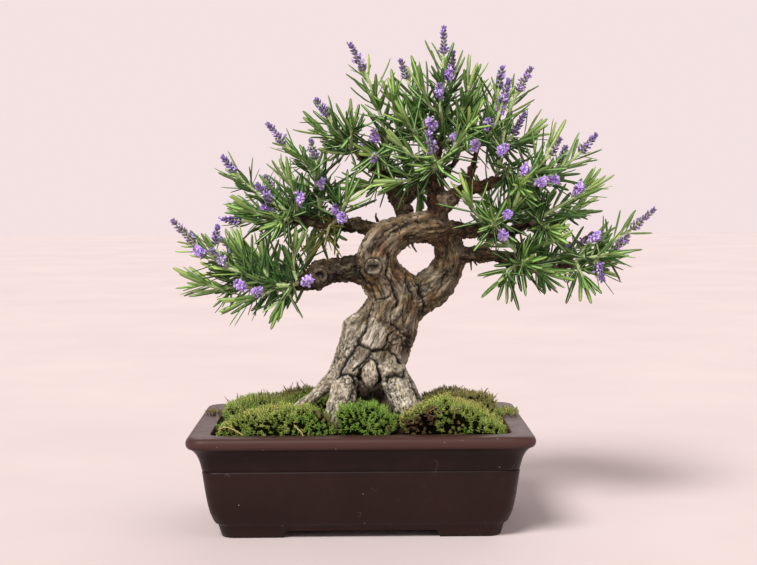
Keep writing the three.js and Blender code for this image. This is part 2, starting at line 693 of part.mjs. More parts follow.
// The leaves of one shoot: pairs that turn a quarter from one to the next, and a tuft at the end
function needles(shoot, owner, number) {
  const curve = stemCurve(shoot);
  const length = curve.getLength();
  const made = [];
  const leafy = length - LEAF_PAIRS.first - LEAF_PAIRS.sunk;
  const pairs = Math.max(1, Math.round(leafy / LEAF_PAIRS.pitch));
  for (let k = 0; k <= pairs; k++) {
    const share = (LEAF_PAIRS.first + (k * leafy) / pairs) / length;
    const root = curve.getPointAt(share);
    const tangent = curve.getTangentAt(share);
    const up = Math.abs(tangent.z) > 0.9 ? new THREE.Vector3(1, 0, 0) : new THREE.Vector3(0, 0, 1);
    const east = tangent.clone().cross(up).normalize();
    const north = east.clone().cross(tangent).normalize();
    const last = k === pairs;
    const leaves = last && !shoot.spike ? 3 : 2;
    for (let n = 0; n < leaves; n++) {
      for (let attempt = 0; attempt < 4; attempt++) {
        const quarter = (k % 2) + (4 / leaves) * n;
        const turn = quarter * (Math.PI / 2) + 0.5 + 0.7 * attempt + draw(number, k, n) * 0.6;
        const spread = (draw(number, k, n + 7) - 0.5) * 0.25 - 0.12 * attempt;
        const open = lerp(1.15, last ? 0.5 : 0.75, share) + spread;
        const shorter = attempt > 2 ? 0.75 : 1;
        const reach = LEAF.length * (0.86 + 0.16 * draw(number, k, n + 13)) * shorter;
        const outward = east.clone().multiplyScalar(Math.cos(turn)).addScaledVector(north, Math.sin(turn));
        const direction = tangent.clone().multiplyScalar(Math.cos(open));
        direction.addScaledVector(outward, Math.sin(open));
        const tip = root.clone().addScaledVector(direction, reach);
        const start = root.clone().addScaledVector(direction, 2.5);
        const body = rod(start, tip, LEAF.clearRadius, owner, "leaf");
        if (!isClear(body)) continue;
        placed.push(body);
        made.push(needle(root, direction, outward, reach));
        break;
      }
    }
  }
  return made;
}

// A flower spike: whorls of buds that stand out of a slim core and shrink to the tip
function spike(from, to, rows = SPIKE.rows) {
  const stations = [0, 0.35, 0.7, 1].map((t) => [...from.clone().lerp(to, t), lerp(1, 0.45, t)]);
  const whorl = (angle, share) => (Math.round(share * rows) % 2 ? SPIKE.floret : SPIKE.core);
  return limb(stations, SPIKE.sides, rows, whorl);
}

// A small open flower on the nearest stem of its spray
function bloom(at, curves) {
  const given = point(at);
  const nearest = curves
    .flatMap((curve) => curve.getSpacedPoints(24))
    .reduce((a, b) => (a.distanceTo(given) < b.distanceTo(given) ? a : b));
  const away = given.distanceTo(nearest);
  const seated = away < BLOOM.radius * 2;
  const centre = seated ? nearest.clone().lerp(given, Math.min(1, (BLOOM.radius * 0.8) / away)) : given;
  const head = new THREE.OctahedronGeometry(BLOOM.radius, 0);
  head.rotateX(draw(at[0], at[1], 1) * 3);
  head.rotateZ(draw(at[0], at[2], 2) * 3);
  head.translate(centre.x, centre.y, centre.z);
  if (seated) return solid(head);
  return solid(head).add(limb([[...nearest, 0.8], [...centre, 0.8]], 3, 1));
}

// Builds every spray and spike: stems and flowers claim their room first, then the leaves fill what is left
function foliage(keepOff) {
  const names = Object.keys(SPRAYS);
  const spikes = [];
  for (const name of names) {
    for (const shoot of SPRAYS[name].shoots) {
      const points = stemCurve(shoot).getSpacedPoints(6);
      for (let i = 0; i < 6; i++) placed.push(rod(points[i], points[i + 1], STEM.base, name, "stem"));
      if (shoot.spike) {
        const end = points[6];
        const tip = point(shoot.spike);
        const rise = tip.clone().sub(end).normalize();
        const bend = rise.clone().cross(points[6].clone().sub(points[5]).normalize()).length();
        const start = end.clone().addScaledVector(rise, shoot.fused ? -1 : GAP + STEM.tip * bend * 1.3);
        const owner = shoot.fused ? name : `spike_${name}_${spikes.length}`;
        placed.push(rod(start, tip, SPIKE.floret, owner, "spike"));
        spikes.push({ name, shoot, start, tip, owner });
      }
    }
    for (const at of SPRAYS[name].blooms) {
      placed.push(rod(point(at), point(at), BLOOM.radius, name, "bloom"));
    }
  }
  for (const name of Object.keys(LIMBS)) {
    const stations = LIMBS[name];
    for (let i = 0; i + 1 < stations.length; i++) {
      const [low, high] = [stations[i], stations[i + 1]];
      placed.push(rod(point(low), point(high), high[3] * 0.9, "tree", "wood"));
    }
  }
  const made = {};
  let number = 0;
  for (const name of names) {
    const { shoots, blooms } = SPRAYS[name];
    const curves = shoots.map(stemCurve);
    const solids = shoots.map((shoot, i) => stemSolid(shoot, i === 0));
    for (const at of blooms) solids.push(bloom(at, curves));
    for (const s of spikes) if (s.name === name && s.shoot.fused) solids.push(spike(s.start, s.tip, 4));
    for (const shoot of shoots) solids.push(...needles(shoot, name, ++number));
    made[name] = { solid: largest(join(solids).subtract(keepOff)), colour: COLOUR.leaf };
  }
  spikes
    .filter((s) => !s.shoot.fused)
    .forEach((s, i) => {
      const name = `flower_spike_${String(i + 1).padStart(2, "0")}`;
      made[name] = { solid: spike(s.start, s.tip), colour: COLOUR.flower };
    });
  return made;
}

const group = new THREE.Group();

function addMesh(name, made, color, roughness = 0.8) {
  const material = new THREE.MeshStandardMaterial({ color, roughness, metalness: 0 });
  const mesh = new THREE.Mesh(toGeometry(made), material);
  mesh.name = name;
  group.add(mesh);
}

const keepOff = tree(GAP);
addMesh("pot", pot(), COLOUR.pot, 0.55);
addMesh("drain_screen_left", screen(-DRAIN.x), COLOUR.screen);
addMesh("drain_screen_right", screen(DRAIN.x), COLOUR.screen);
addMesh("soil", largest(soil().subtract(keepOff)), COLOUR.soil, 0.95);
addMesh("tree", tree(), COLOUR.bark, 0.85);

const mossNames = Object.keys(MOSS);
const ground = soil(GAP);
const within = rimInside();
mossNames.forEach((name, i) => {
  let made = cushion(MOSS[name]).intersect(within).subtract(ground).subtract(keepOff);
  for (const earlier of mossNames.slice(0, i)) made = made.subtract(cushion(MOSS[earlier], GAP));
  addMesh(name, largest(made), COLOUR.moss, 0.95);
});

for (const [name, part] of Object.entries(foliage(keepOff))) addMesh(name, part.solid, part.colour, 0.6);

// The origin is the middle of the underside of the whole object's box
const box = new THREE.Box3().setFromObject(group);
const middle = box.getCenter(new THREE.Vector3());
group.position.set(-middle.x, -middle.y, -box.min.z);

export default group;
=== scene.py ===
# A rosemary bonsai in its pot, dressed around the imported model. The tables below are in millimetres from
# the middle of the pot's underside, with +X to the right, -Y to the front and +Z up. Blender's objects are
# in metres.
import itertools
import math

import bpy
import numpy as np
from mathutils import Matrix, Vector


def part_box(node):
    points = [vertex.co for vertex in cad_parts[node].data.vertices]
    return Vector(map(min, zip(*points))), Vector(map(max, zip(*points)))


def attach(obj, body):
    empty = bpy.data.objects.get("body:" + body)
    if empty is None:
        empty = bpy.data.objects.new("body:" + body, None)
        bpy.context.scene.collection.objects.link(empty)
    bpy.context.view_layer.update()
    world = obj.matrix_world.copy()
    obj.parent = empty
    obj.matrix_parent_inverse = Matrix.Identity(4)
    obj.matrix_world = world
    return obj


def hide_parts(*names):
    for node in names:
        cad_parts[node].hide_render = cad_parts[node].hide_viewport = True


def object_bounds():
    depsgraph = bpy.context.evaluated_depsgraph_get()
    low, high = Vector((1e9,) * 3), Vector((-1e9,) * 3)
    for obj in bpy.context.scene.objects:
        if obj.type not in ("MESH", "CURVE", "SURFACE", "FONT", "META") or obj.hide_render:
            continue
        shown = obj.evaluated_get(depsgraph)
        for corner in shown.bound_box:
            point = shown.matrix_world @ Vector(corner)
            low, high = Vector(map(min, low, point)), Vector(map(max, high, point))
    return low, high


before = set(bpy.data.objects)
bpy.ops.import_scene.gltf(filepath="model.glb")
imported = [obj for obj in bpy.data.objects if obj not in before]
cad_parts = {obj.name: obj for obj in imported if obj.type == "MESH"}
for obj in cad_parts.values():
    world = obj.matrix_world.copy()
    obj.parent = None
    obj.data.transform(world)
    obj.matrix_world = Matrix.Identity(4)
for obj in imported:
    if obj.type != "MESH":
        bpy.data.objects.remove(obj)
cad_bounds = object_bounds()

MM = 0.001
POT = {"width": 215, "depth": 162, "corner": 11}
FOOT = {"half_gap_x": 46, "half_gap_y": 30, "slant": 3, "lift": 4.6}
LEAF = {"length": 24, "width": 2.75, "pair_pitch": 4.6, "first": 4}
STEM = {"base": 1.5, "tip": 1.0}
ORIGIN = np.array(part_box("pot")[0]) + np.array([POT["width"] / 2, POT["depth"] / 2, 0]) * MM

# The tree's woody limbs as stations (x, y, z, radius)
LIMBS = {
    "trunk": [
        (5, 4, 50, 17), (5, 5, 66, 15.5), (4, 5, 80, 15.5), (4, 2, 92, 19.5), (6, 0, 102, 22),
        (11, 0, 116, 22.8), (18, 0, 130, 19.4), (22.5, 0, 141, 17.2), (25, 0, 150, 15),
    ],
    "arm_left": [
        (23, -1, 139, 15.2), (18, -3, 152, 14.7), (12, -5, 164, 13.3), (12, -6, 175, 12),
        (19, -6, 184, 11.7), (29, -5, 189, 10.4), (40, -4, 191, 10.7), (51, -3, 191, 9.1),
    ],
    "arm_right": [
        (27, 2, 138, 13.1), (43, 5, 148, 12.4), (55, 7, 159, 11.1), (59, 7, 170, 10.2), (58, 5, 180, 9.2),
        (54, 1, 188, 7.8),
    ],
    "apex": [
        (50, -4, 183, 7), (50, -4, 193, 7.1), (50, -4, 205, 5.8), (50, -3, 217, 4.9), (49, -1, 230, 3.9),
        (52, 2, 242, 2.9), (55, 4, 252, 2.2),
    ],
    "branch_left_low": [
        (10, -5, 162, 9.7), (-4, -7, 164, 8.7), (-14, -8, 163, 8.1), (-25, -9, 161, 7.7),
        (-33, -10, 156, 5.8), (-41, -11, 154, 3.5), (-46, -12, 153, 2.6),
    ],
    "branch_left_mid": [
        (18, 0, 184, 6.4), (4, 10, 191, 5.1), (-10, 15, 192, 4.5), (-25, 17, 193, 3.8), (-39, 14, 195, 3),
        (-49, 9, 196, 2.3),
    ],
    "branch_left_up": [
        (32, 2, 190, 6.5), (28, 18, 205, 6), (22, 26, 216, 5), (14, 28, 226, 4), (6, 26, 233, 3),
        (-1, 22, 238, 2.2),
    ],
    "branch_back": [
        (27, 17, 204, 5), (38, 32, 215, 4), (51, 46, 221, 3.4), (62, 58, 229, 2.8), (68, 66, 236, 2.2),
    ],
    "branch_right_up": [
        (51, -4, 201, 5.2), (60, -7, 210, 5.2), (69, -8, 215, 4.3), (79, -8, 217, 3.7), (89, -9, 220, 3),
        (98, -10, 222, 2.2),
    ],
    "twig_upper_right": [(68, -8, 214, 3.4), (72, -6, 224, 2.8), (74, -4, 232, 2.3), (76, -4, 239, 1.9)],
    "branch_right_mid": [
        (54, -2, 190, 5.6), (68, -1, 189, 4.6), (83, -2, 187, 3.6), (99, -5, 188, 3), (111, -8, 192, 2.2),
    ],
    "branch_right_low": [
        (60, 6, 170, 6.6), (75, 1, 173, 4.9), (86, -2, 172, 4.2), (100, -4, 167, 4), (114, -5, 164, 3.5),
        (130, -6, 164, 2.6), (138, -7, 166, 2.1),
    ],
    "branch_back_right": [
        (57, 6, 181, 6), (65, 20, 187, 5), (76, 40, 186, 4), (90, 56, 187, 3), (101, 66, 191, 2.2),
    ],
    "root_left": [
        (-1, -3, 111, 11), (-9, -5, 101, 9.4), (-18, -8, 92, 6.6), (-27, -12, 84.5, 4.4),
        (-36, -18, 78, 3.8), (-48, -27, 70, 3.2), (-56, -33, 62, 2.6),
    ],
    "root_centre_left": [
        (0, -6, 116, 13), (-5.5, -14, 104, 10.2), (-9.5, -21, 93, 8.4), (-11.5, -27, 83, 8.4),
        (-15.5, -33, 74, 7.8), (-21, -39, 63, 5),
    ],
    "root_centre": [(8, -11, 107, 11), (6, -16, 98, 9.6), (6, -17.5, 91, 6.4)],
    "root_right": [
        (12, -4, 118, 13), (16, -10, 106, 11), (20, -16, 96, 9.3), (24.4, -22, 86, 8.8),
        (28.5, -28, 77, 8), (35, -34, 64, 5),
    ],
    "root_right_back": [
        (15.5, 4, 112, 10.5), (20, 5, 101, 8.2), (25.5, 5, 91, 6.8), (32.5, 6, 80, 5.7), (41, 8, 66, 4.4),
    ],
    "root_back_left": [
        (0, 8, 108, 12), (-10, 16, 94, 9), (-20, 25, 82, 7.5), (-30, 33, 71, 5.5), (-38, 40, 61, 3.5),
    ],
    "root_back_right": [(12, 10, 108, 12), (18, 20, 92, 9), (25, 30, 79, 7), (33, 40, 64, 4.5)],
    "burl_left": [(12, -2, 125, 13), (2, -4, 125, 10), (-3.6, -5, 123.4, 8.2)],
    "knot_arm": [(12, -8, 165, 10), (8.5, -18.3, 165.4, 5.8)],
    "knot_left_low": [(-25, -9, 161, 7), (-29, -16.5, 157, 6)],
    "stub_right_up": [(60, -7, 209, 5), (53.5, -13, 208, 4.5)],
    "burl_shoulder": [(-4, -6, 130.8, 4.6), (-5.6, -6, 125, 5.4), (-6.6, -6, 118, 4.2)],
}


def shoot(*through, spike=None, fused=False):
    """One leafy shoot: points of its stem, and the tip of the flower spike on its end, if it has one"""
    return {"through": through, "spike": spike, "fused": fused}


def spray(*shoots, blooms):
    """Shoots that grow from one place on the tree, with the flowers that sit among their leaves"""
    return {"shoots": shoots, "blooms": blooms}


SPRAYS = {
    "spray_left_low_outer": spray(
        shoot((-43, -11, 153), (-60, -12, 152), (-77, -13, 153), (-87, -18, 152), (-100, -24, 156)),
        shoot((-68, -12, 153), (-84, -14, 165), (-105, -18, 181), spike=(-120, -20, 197)),
        shoot((-78, -13, 160), (-88, -9, 169), (-94, -6, 179), spike=(-92, -4, 193)),
        shoot((-62, -12, 152), (-71, -2, 164), (-78, 4, 176)),
        shoot((-58, -12, 152), (-62, 2, 162), (-64, 10, 172)),
        blooms=[(-103, -20, 176)],
    ),
    "spray_left_low_front": spray(
        shoot(
            (-36, -10, 156), (-48, -19, 154), (-62, -24, 157), (-73, -27, 162), (-83, -29, 166),
            spike=(-95, -32, 179),
        ),
        shoot((-50, -20, 154), (-63, -26, 149), (-74, -29, 145)),
        shoot((-43, -15, 155), (-47, -22, 149), (-50, -25, 144)),
        shoot((-40, -12, 155), (-43, -10, 165), (-42, -7, 176)),
        blooms=[(-76, -31, 155), (-66, -31, 153), (-34, -19, 157)],
    ),
    "spray_left_low_back": spray(
        shoot(
            (-33, -9, 157), (-43, 6, 159), (-56, 18, 161), (-72, 28, 166), (-84, 34, 173),
            spike=(-95, 37, 184), fused=True,
        ),
        shoot((-47, 10, 159), (-54, 27, 158), (-58, 42, 163)),
        shoot((-62, 22, 162), (-78, 20, 158), (-92, 16, 161)),
        shoot((-39, 1, 158), (-36, 14, 165), (-34, 24, 174)),
        blooms=[(-72, 33, 172)],
    ),
    "spray_left_mid_outer": spray(
        shoot((-47, 10, 196), (-58, 6, 198), (-70, -2, 201)),
        shoot((-53, 8, 197), (-63, 9, 209), (-72, 7, 218), (-80, 5, 226), spike=(-90, 4, 238)),
        shoot((-52, 8, 197), (-65, 17, 194), (-78, 20, 195), spike=(-92, 22, 196), fused=True),
        blooms=[(-60, 3, 204)],
    ),
    "spray_left_mid_front": spray(
        shoot((-39, 13, 195), (-44, 4, 198), (-50, 0, 203), (-56, -3, 207), spike=(-67, -6, 220)),
        shoot((-43, 6, 197), (-41, 1, 208), (-46, -3, 222)),
        shoot((-44, 4, 198), (-48, -8, 196), (-51, -20, 195)),
        blooms=[(-35, -4, 209)],
    ),
    "spray_left_mid_upper": spray(
        shoot(
            (-25, 16, 194), (-27, 12, 211), (-31, 8, 228), (-40, 5, 237), (-48, 4, 244),
            spike=(-60, 2, 259),
        ),
        shoot((-26, 14, 203), (-24, 24, 219), (-29, 28, 235), spike=(-33, 30, 250), fused=True),
        blooms=[(-22, 6, 222)],
    ),
    "spray_left_mid_inner": spray(
        shoot((-9, 14, 193), (-13, 5, 199), (-8, -4, 208)),
        shoot((-12, 8, 197), (-19, 0, 192), (-22, -8, 184)),
        shoot((-11, 10, 196), (-12, 26, 203), (-17, 41, 211)),
        blooms=[(-19, -2, 203), (-12, -8, 196)],
    ),
    "spray_left_mid_back": spray(
        shoot((-30, 17, 194), (-40, 27, 199), (-50, 33, 206), (-57, 36, 212), spike=(-64, 40, 226)),
        shoot((-40, 27, 199), (-56, 38, 196), (-72, 44, 200)),
        shoot((-36, 23, 197), (-37, 40, 203), (-41, 54, 212)),
        shoot((-33, 20, 195), (-26, 34, 190), (-22, 48, 188)),
        blooms=[(-50, 44, 203)],
    ),
    "spray_crown_left": spray(
        shoot((0, 22, 237), (-8, 19, 246), (-15, 17, 255), (-20, 16, 263), spike=(-29, 14, 276)),
        shoot((-5, 20, 243), (-14, 27, 247), (-24, 32, 253)),
        shoot((-5, 20, 243), (-5, 10, 250), (-5, 2, 257)),
        shoot((-3, 21, 240), (-12, 13, 239), (-21, 6, 240)),
        blooms=[(10, 4, 249)],
    ),
    "spray_crown_left_tall": spray(
        shoot(
            (15, 27, 227), (18, 17, 240), (16, 9, 256), (12, 5, 270), (8, 2, 282), (4, 1, 291),
            spike=(-6, -2, 310),
        ),
        shoot((18, 17, 240), (27, 13, 249), (26, 4, 261), (22, -3, 273)),
        shoot((18, 18, 239), (12, 4, 238), (8, -10, 237)),
        blooms=[(9, 0, 236)],
    ),
    "spray_crown_top": spray(
        shoot((55, 4, 251), (53, 0, 268), (54, -2, 284), (55, -3, 301), spike=(55, -4, 321)),
        shoot((54, 3, 258), (58, 11, 269), (60, 13, 282), (60, 13, 291), spike=(62, 13, 306)),
        shoot((54, 2, 261), (45, -4, 270), (40, -8, 281)),
        blooms=[(50, -9, 278), (61, -4, 289)],
    ),
    "spray_crown_top_left": spray(
        shoot((49, 1, 236), (44, 9, 250), (39, 15, 267), (32, 20, 287), spike=(27, 21, 302)),
        shoot((45, 8, 248), (44, 24, 259), (42, 38, 270)),
        shoot((46, 6, 245), (36, -4, 251), (30, -14, 259)),
        blooms=[(47, -10, 257)],
    ),
    "spray_crown_top_right": spray(
        shoot((52, 2, 244), (61, 0, 249), (66, -5, 263), (71, -8, 282)),
        shoot((61, 0, 249), (70, 9, 258), (76, 16, 270)),
        shoot((61, 0, 249), (68, -14, 252), (70, -26, 256)),
        blooms=[(60, -10, 246)],
    ),
    "spray_crown_front": spray(
        shoot((49, -4, 226), (48, -16, 229), (48, -28, 232), (46, -37, 236), spike=(43, -42, 252)),
        shoot((48, -14, 229), (37, -20, 235), (26, -24, 243)),
        shoot((48, -16, 229), (57, -24, 237), (62, -32, 246)),
        shoot((49, -10, 228), (35, -10, 222), (24, -12, 220)),
        blooms=[(73, -22, 242)],
    ),
    "spray_upper_right": spray(
        shoot((75.5, -4, 238), (81, 0, 251), (86, 2, 261), (89, 4, 270), (91, 6, 280), spike=(94, 8, 296)),
        shoot((79, -2, 246), (84, -10, 251), (88, -14, 259), (91, -16, 269), spike=(96, -18, 286)),
        shoot((80, -1, 249), (91, 12, 245), (102, 25, 250), spike=(112, 32, 267)),
        blooms=[(91, -8, 267), (79, -12, 259), (91, -20, 240)],
    ),
    "spray_upper_right_outer": spray(
        shoot((88, -9, 220), (91, -8, 238), (95, -5, 258), (102, -4, 277), spike=(112, -4, 294)),
        shoot((90, -8, 232), (103, -20, 222), (113, -26, 229), (121, -30, 241)),
        shoot((92, -10, 231), (98, -22, 216), (101, -34, 217)),
        shoot((92, -7, 243), (102, 4, 245), (111, 8, 250)),
        blooms=[(105, -31, 227), (115, -28, 219)],
    ),
    "spray_right_upper_tip": spray(
        shoot(
            (97, -10, 222), (108, -9, 220), (120, -6, 222), (131, -4, 228), (143, -2, 238),
            spike=(155, 0, 251),
        ),
        shoot((108, -9, 220), (114, -3, 228), (124, 3, 236), spike=(132, 5, 249)),
        shoot((116, -7, 221), (124, 6, 224), (132, 14, 231), spike=(137, 18, 244), fused=True),
        shoot((104, -9, 221), (108, 8, 218), (114, 24, 220)),
        blooms=[(125, -16, 221)],
    ),
    "spray_right_mid": spray(
        shoot((110, -8, 192), (124, -8, 201), (137, -8, 208), (147, -8, 215)),
        shoot((116, -8, 195), (117, -20, 191), (119, -31, 189)),
        shoot((122, -8, 199), (134, 4, 198), (145, 14, 202)),
        shoot((116, -8, 195), (116, 8, 199), (119, 24, 205)),
        blooms=[(140, -11, 217)],
    ),
    "spray_right_mid_front": spray(
        shoot((82, -2, 187), (85, -13, 190), (85, -25, 192), (84, -35, 195)),
        shoot((85, -12, 190), (94, -20, 197), (99, -26, 205)),
        shoot((85, -12, 190), (76, -20, 198), (70, -26, 207)),
        blooms=[(93, -34, 199), (90, -37, 186)],
    ),
    "spray_right_low_tip": spray(
        shoot(
            (137, -7, 166), (147, -8, 172), (158, -8, 177), (168, -8, 184), (175, -8, 188),
            spike=(191, -10, 202),
        ),
        shoot((143, -8, 170), (150, -15, 171), (159, -21, 174)),
        shoot((152, -8, 174), (158, 1, 172), (166, 6, 175), spike=(178, 9, 185)),
        shoot((148, -12, 171), (153, -14, 168), spike=(156, -18, 155), fused=True),
        shoot((141, -8, 169), (145, 5, 172), (152, 14, 180)),
        shoot((140, -8, 168), (141, -16, 163), (142, -22, 158)),
        blooms=[(151, -16, 184)],
    ),
    "spray_right_low_front": spray(
        shoot((100, -4, 168), (103, -15, 167), (105, -28, 168)),
        shoot((102, -13, 167), (112, -20, 164), (119, -26, 161)),
        shoot((102, -12, 167), (95, -19, 163), (92, -25, 158)),
        shoot((101, -8, 168), (110, -12, 176), (120, -15, 181)),
        blooms=[],
    ),
    "spray_right_low_back": spray(
        shoot((114, -4, 165), (121, 9, 166), (133, 19, 170), (146, 26, 176), spike=(158, 31, 186)),
        shoot((120, 7, 166), (120, 24, 163), (124, 38, 167)),
        shoot((116, 0, 166), (106, 12, 172), (98, 22, 179)),
        shoot((128, 15, 168), (142, 14, 163), (156, 12, 163)),
        blooms=[(136, 24, 178)],
    ),
    "spray_back_crown": spray(
        shoot((67, 65, 235), (71, 69, 246), (74, 71, 258), spike=(77, 74, 274)),
        shoot((69, 67, 240), (57, 72, 246), (46, 76, 252)),
        shoot((69, 67, 241), (83, 64, 246), (96, 60, 252)),
        shoot((70, 68, 243), (62, 54, 252), (57, 42, 262)),
        blooms=[(80, 70, 254)],
    ),
    "spray_back_left": spray(
        shoot((51, 47, 221), (38, 54, 223), (24, 60, 228), (12, 66, 236), spike=(2, 71, 248), fused=True),
        shoot((38, 54, 223), (30, 46, 234), (24, 40, 246)),
        shoot((28, 58, 226), (14, 52, 220), (1, 50, 217)),
        shoot((40, 53, 223), (42, 64, 216), (42, 76, 212)),
        blooms=[(18, 68, 242)],
    ),
    "spray_back_right": spray(
        shoot((100, 65, 191), (108, 69, 200), (115, 71, 211), spike=(121, 73, 226)),
        shoot((102, 67, 193), (116, 62, 190), (130, 56, 191)),
        shoot((103, 67, 195), (92, 72, 204), (82, 74, 214)),
        shoot((102, 66, 193), (99, 74, 185), (94, 80, 180)),
        shoot((105, 67, 197), (112, 54, 204), (118, 42, 213)),
        blooms=[(120, 66, 202)],
    ),
}


def metres(points):
    """Places in the tables' millimetres as Blender's metres"""
    return np.asarray(points, float) * MM + ORIGIN


def millimetres(points):
    """Blender's metres as the tables' millimetres"""
    return (np.asarray(points, float) - ORIGIN) / MM


def unit(v):
    """Vectors at length 1"""
    return v / np.maximum(np.linalg.norm(v, axis=-1, keepdims=True), 1e-9)


def curve(x, points):
    """The value at x of a line through points (x, value)"""
    return np.interp(x, *zip(*points))


def ease(low, high, x):
    """0 at low, 1 at high, smooth between them and flat beyond"""
    t = np.clip((np.asarray(x, float) - low) / (high - low), 0, 1)
    return t * t * (3 - 2 * t)


# Large odd numbers that stir whole numbers well: one for each axis, for the seed, and for each later stir
STIR_AXES = np.array([374761393, 668265263, 2246822519], np.uint32)
STIR_SEED = (974711, 12345)
STIR_SHIFTS = ((15, 2246822519), (13, 3266489917))


def lattice(cell, seed):
    """A repeatable number from 0 to 1 for each whole-number cell [..., 3]"""
    c = cell.astype(np.int64).astype(np.uint32)
    h = sum(c[..., k] * STIR_AXES[k] for k in range(3)) + np.uint32(seed * STIR_SEED[0] + STIR_SEED[1])
    for shift, factor in STIR_SHIFTS:
        h = (h ^ (h >> np.uint32(shift))) * np.uint32(factor)
    return (h ^ (h >> np.uint32(16))) / 4294967295.0


CORNERS = np.array(list(itertools.product((0, 1), repeat=3)))
AROUND = np.array(list(itertools.product((-1, 0, 1), repeat=3)))


def noise(p, seed=0, octaves=1):
    """Smooth noise from -1 to 1"""
    total = np.zeros(len(p))
    for octave in range(octaves):
        q = p * 2.0**octave + 17.3 * octave
        base = np.floor(q)
        f = q - base
        f = f * f * (3 - 2 * f)
        for corner in CORNERS:
            weight = np.prod(np.where(corner, f, 1 - f), axis=1)
            total += 0.55**octave * weight * (2 * lattice(base + corner, seed + octave) - 1)
    return total


def cells(p, seed=0):
    """Distances to the nearest two of scattered cell centres, and the nearest one's own number"""
    base = np.floor(p)
    nearest, second = np.full((2, len(p)), 9.0)
    chance = np.zeros(len(p))
    for offset in AROUND:
        cell = base + offset
        centre = cell + np.stack([lattice(cell, seed + k) for k in range(3)], axis=1)
        distance = np.linalg.norm(p - centre, axis=1)
        chance = np.where(distance < nearest, lattice(cell, seed + 7), chance)
        second = np.minimum(second, np.maximum(nearest, distance))
        nearest = np.minimum(nearest, distance)
    return nearest, second, chance


def smooth_path(stations, per_span=8):
    """A centripetal Catmull-Rom curve through stations that begin with x, y, z"""
    p = np.array(stations, float)
    p = np.vstack([2 * p[0] - p[1], p, 2 * p[-1] - p[-2]])
    steps = np.linalg.norm(np.diff(p[:, :3], axis=0), axis=1) ** 0.5
    knot = np.concatenate([[0], np.cumsum(steps)])
    rows = []
    for i in range(1, len(p) - 2):
        t = np.linspace(knot[i], knot[i + 1], per_span, endpoint=False)[:, None]
        k, q = knot[i - 1 : i + 3], p[i - 1 : i + 3]
        a = [((k[j + 1] - t) * q[j] + (t - k[j]) * q[j + 1]) / (k[j + 1] - k[j]) for j in range(3)]
        b = [((k[j + 2] - t) * a[j] + (t - k[j]) * a[j + 1]) / (k[j + 2] - k[j]) for j in range(2)]
        rows.append(((k[2] - t) * b[0] + (t - k[1]) * b[1]) / (k[2] - k[1]))
    rows.append(p[-2:-1])
    return np.vstack(rows)


def travelled(path):
    """Distance along a path at each of its points"""
    return np.concatenate([[0], np.cumsum(np.linalg.norm(np.diff(path[:, :3], axis=0), axis=1))])


def along(path, distances):
    """Points at the given distances along a path"""
    s = travelled(path)
    return np.stack([np.interp(distances, s, path[:, i]) for i in range(path.shape[1])], axis=1)


def frames_along(path):
    """Tangents of a path, and two crosswise directions that turn with it as little as they can"""
    tangents = unit(np.gradient(path, axis=0))
    normal = np.cross(tangents[0], np.eye(3)[np.abs(tangents[0]).argmin()])
    normals = []
    for tangent in tangents:
        normal = unit(normal - tangent * (normal @ tangent))
        normals.append(normal)
    normals = np.array(normals)
    return tangents, normals, np.cross(tangents, normals)


def tube(path, radii, sides):
    """Points, quads and triangles of a closed tube along a path, with radii [m] or [m, sides]"""
    count = len(path)
    _, normals, binormals = frames_along(path)
    turn = np.arange(sides) * 2 * math.pi / sides
    ring = np.cos(turn)[:, None] * normals[:, None] + np.sin(turn)[:, None] * binormals[:, None]
    radii = np.broadcast_to(np.asarray(radii, float).reshape(count, -1), (count, sides))
    points = np.vstack([(path[:, None] + ring * radii[..., None]).reshape(-1, 3), path[[0, -1]]])
    return points, *tube_faces(count, sides)


def tube_faces(count, sides):
    """Faces of a closed tube of rings, whose last two points are the middles of its ends"""
    a = np.arange(count - 1)[:, None] * sides
    b = np.arange(sides)[None]
    c = (b + 1) % sides
    quads = np.stack([a + b, a + c, a + sides + c, a + sides + b], axis=-1).reshape(-1, 4)
    start, end, last = count * sides, count * sides + 1, (count - 1) * sides
    tris = [[start, c[0, i], i] for i in range(sides)]
    tris += [[end, last + i, last + c[0, i]] for i in range(sides)]
    return quads, np.array(tris)


def linked(name, data):
    """A new object of the scene"""
    made = bpy.data.objects.new(name, data)
    bpy.context.scene.collection.objects.link(made)
    return made


def mesh_object(name, points, faces, values, materials):
    """An object from points in millimetres and faces as (arrays of corners, material number)"""
    mesh = bpy.data.meshes.new(name)
    corners = np.concatenate([f.ravel() for f, _ in faces]).astype(np.int32)
    sizes = np.concatenate([np.full(len(f), f.shape[1]) for f, _ in faces])
    slots = np.concatenate([np.full(len(f), slot) for f, slot in faces]).astype(np.int32)
    mesh.vertices.add(len(points))
    mesh.vertices.foreach_set("co", metres(points).astype(np.float32).ravel())
    mesh.loops.add(len(corners))
    mesh.loops.foreach_set("vertex_index", corners)
    mesh.polygons.add(len(sizes))
    mesh.polygons.foreach_set("loop_start", (np.cumsum(sizes) - sizes).astype(np.int32))
    mesh.polygons.foreach_set("material_index", slots)
    mesh.update(calc_edges=True)
    mesh.shade_smooth()
    for key, value in values.items():
        kind, field = ("FLOAT_VECTOR", "vector") if value.ndim == 2 else ("FLOAT", "value")
        attribute = mesh.attributes.new(key, kind, "POINT")
        attribute.data.foreach_set(field, value.astype(np.float32).ravel())
    for material in materials:
        mesh.materials.append(material)
    return linked(name, mesh)


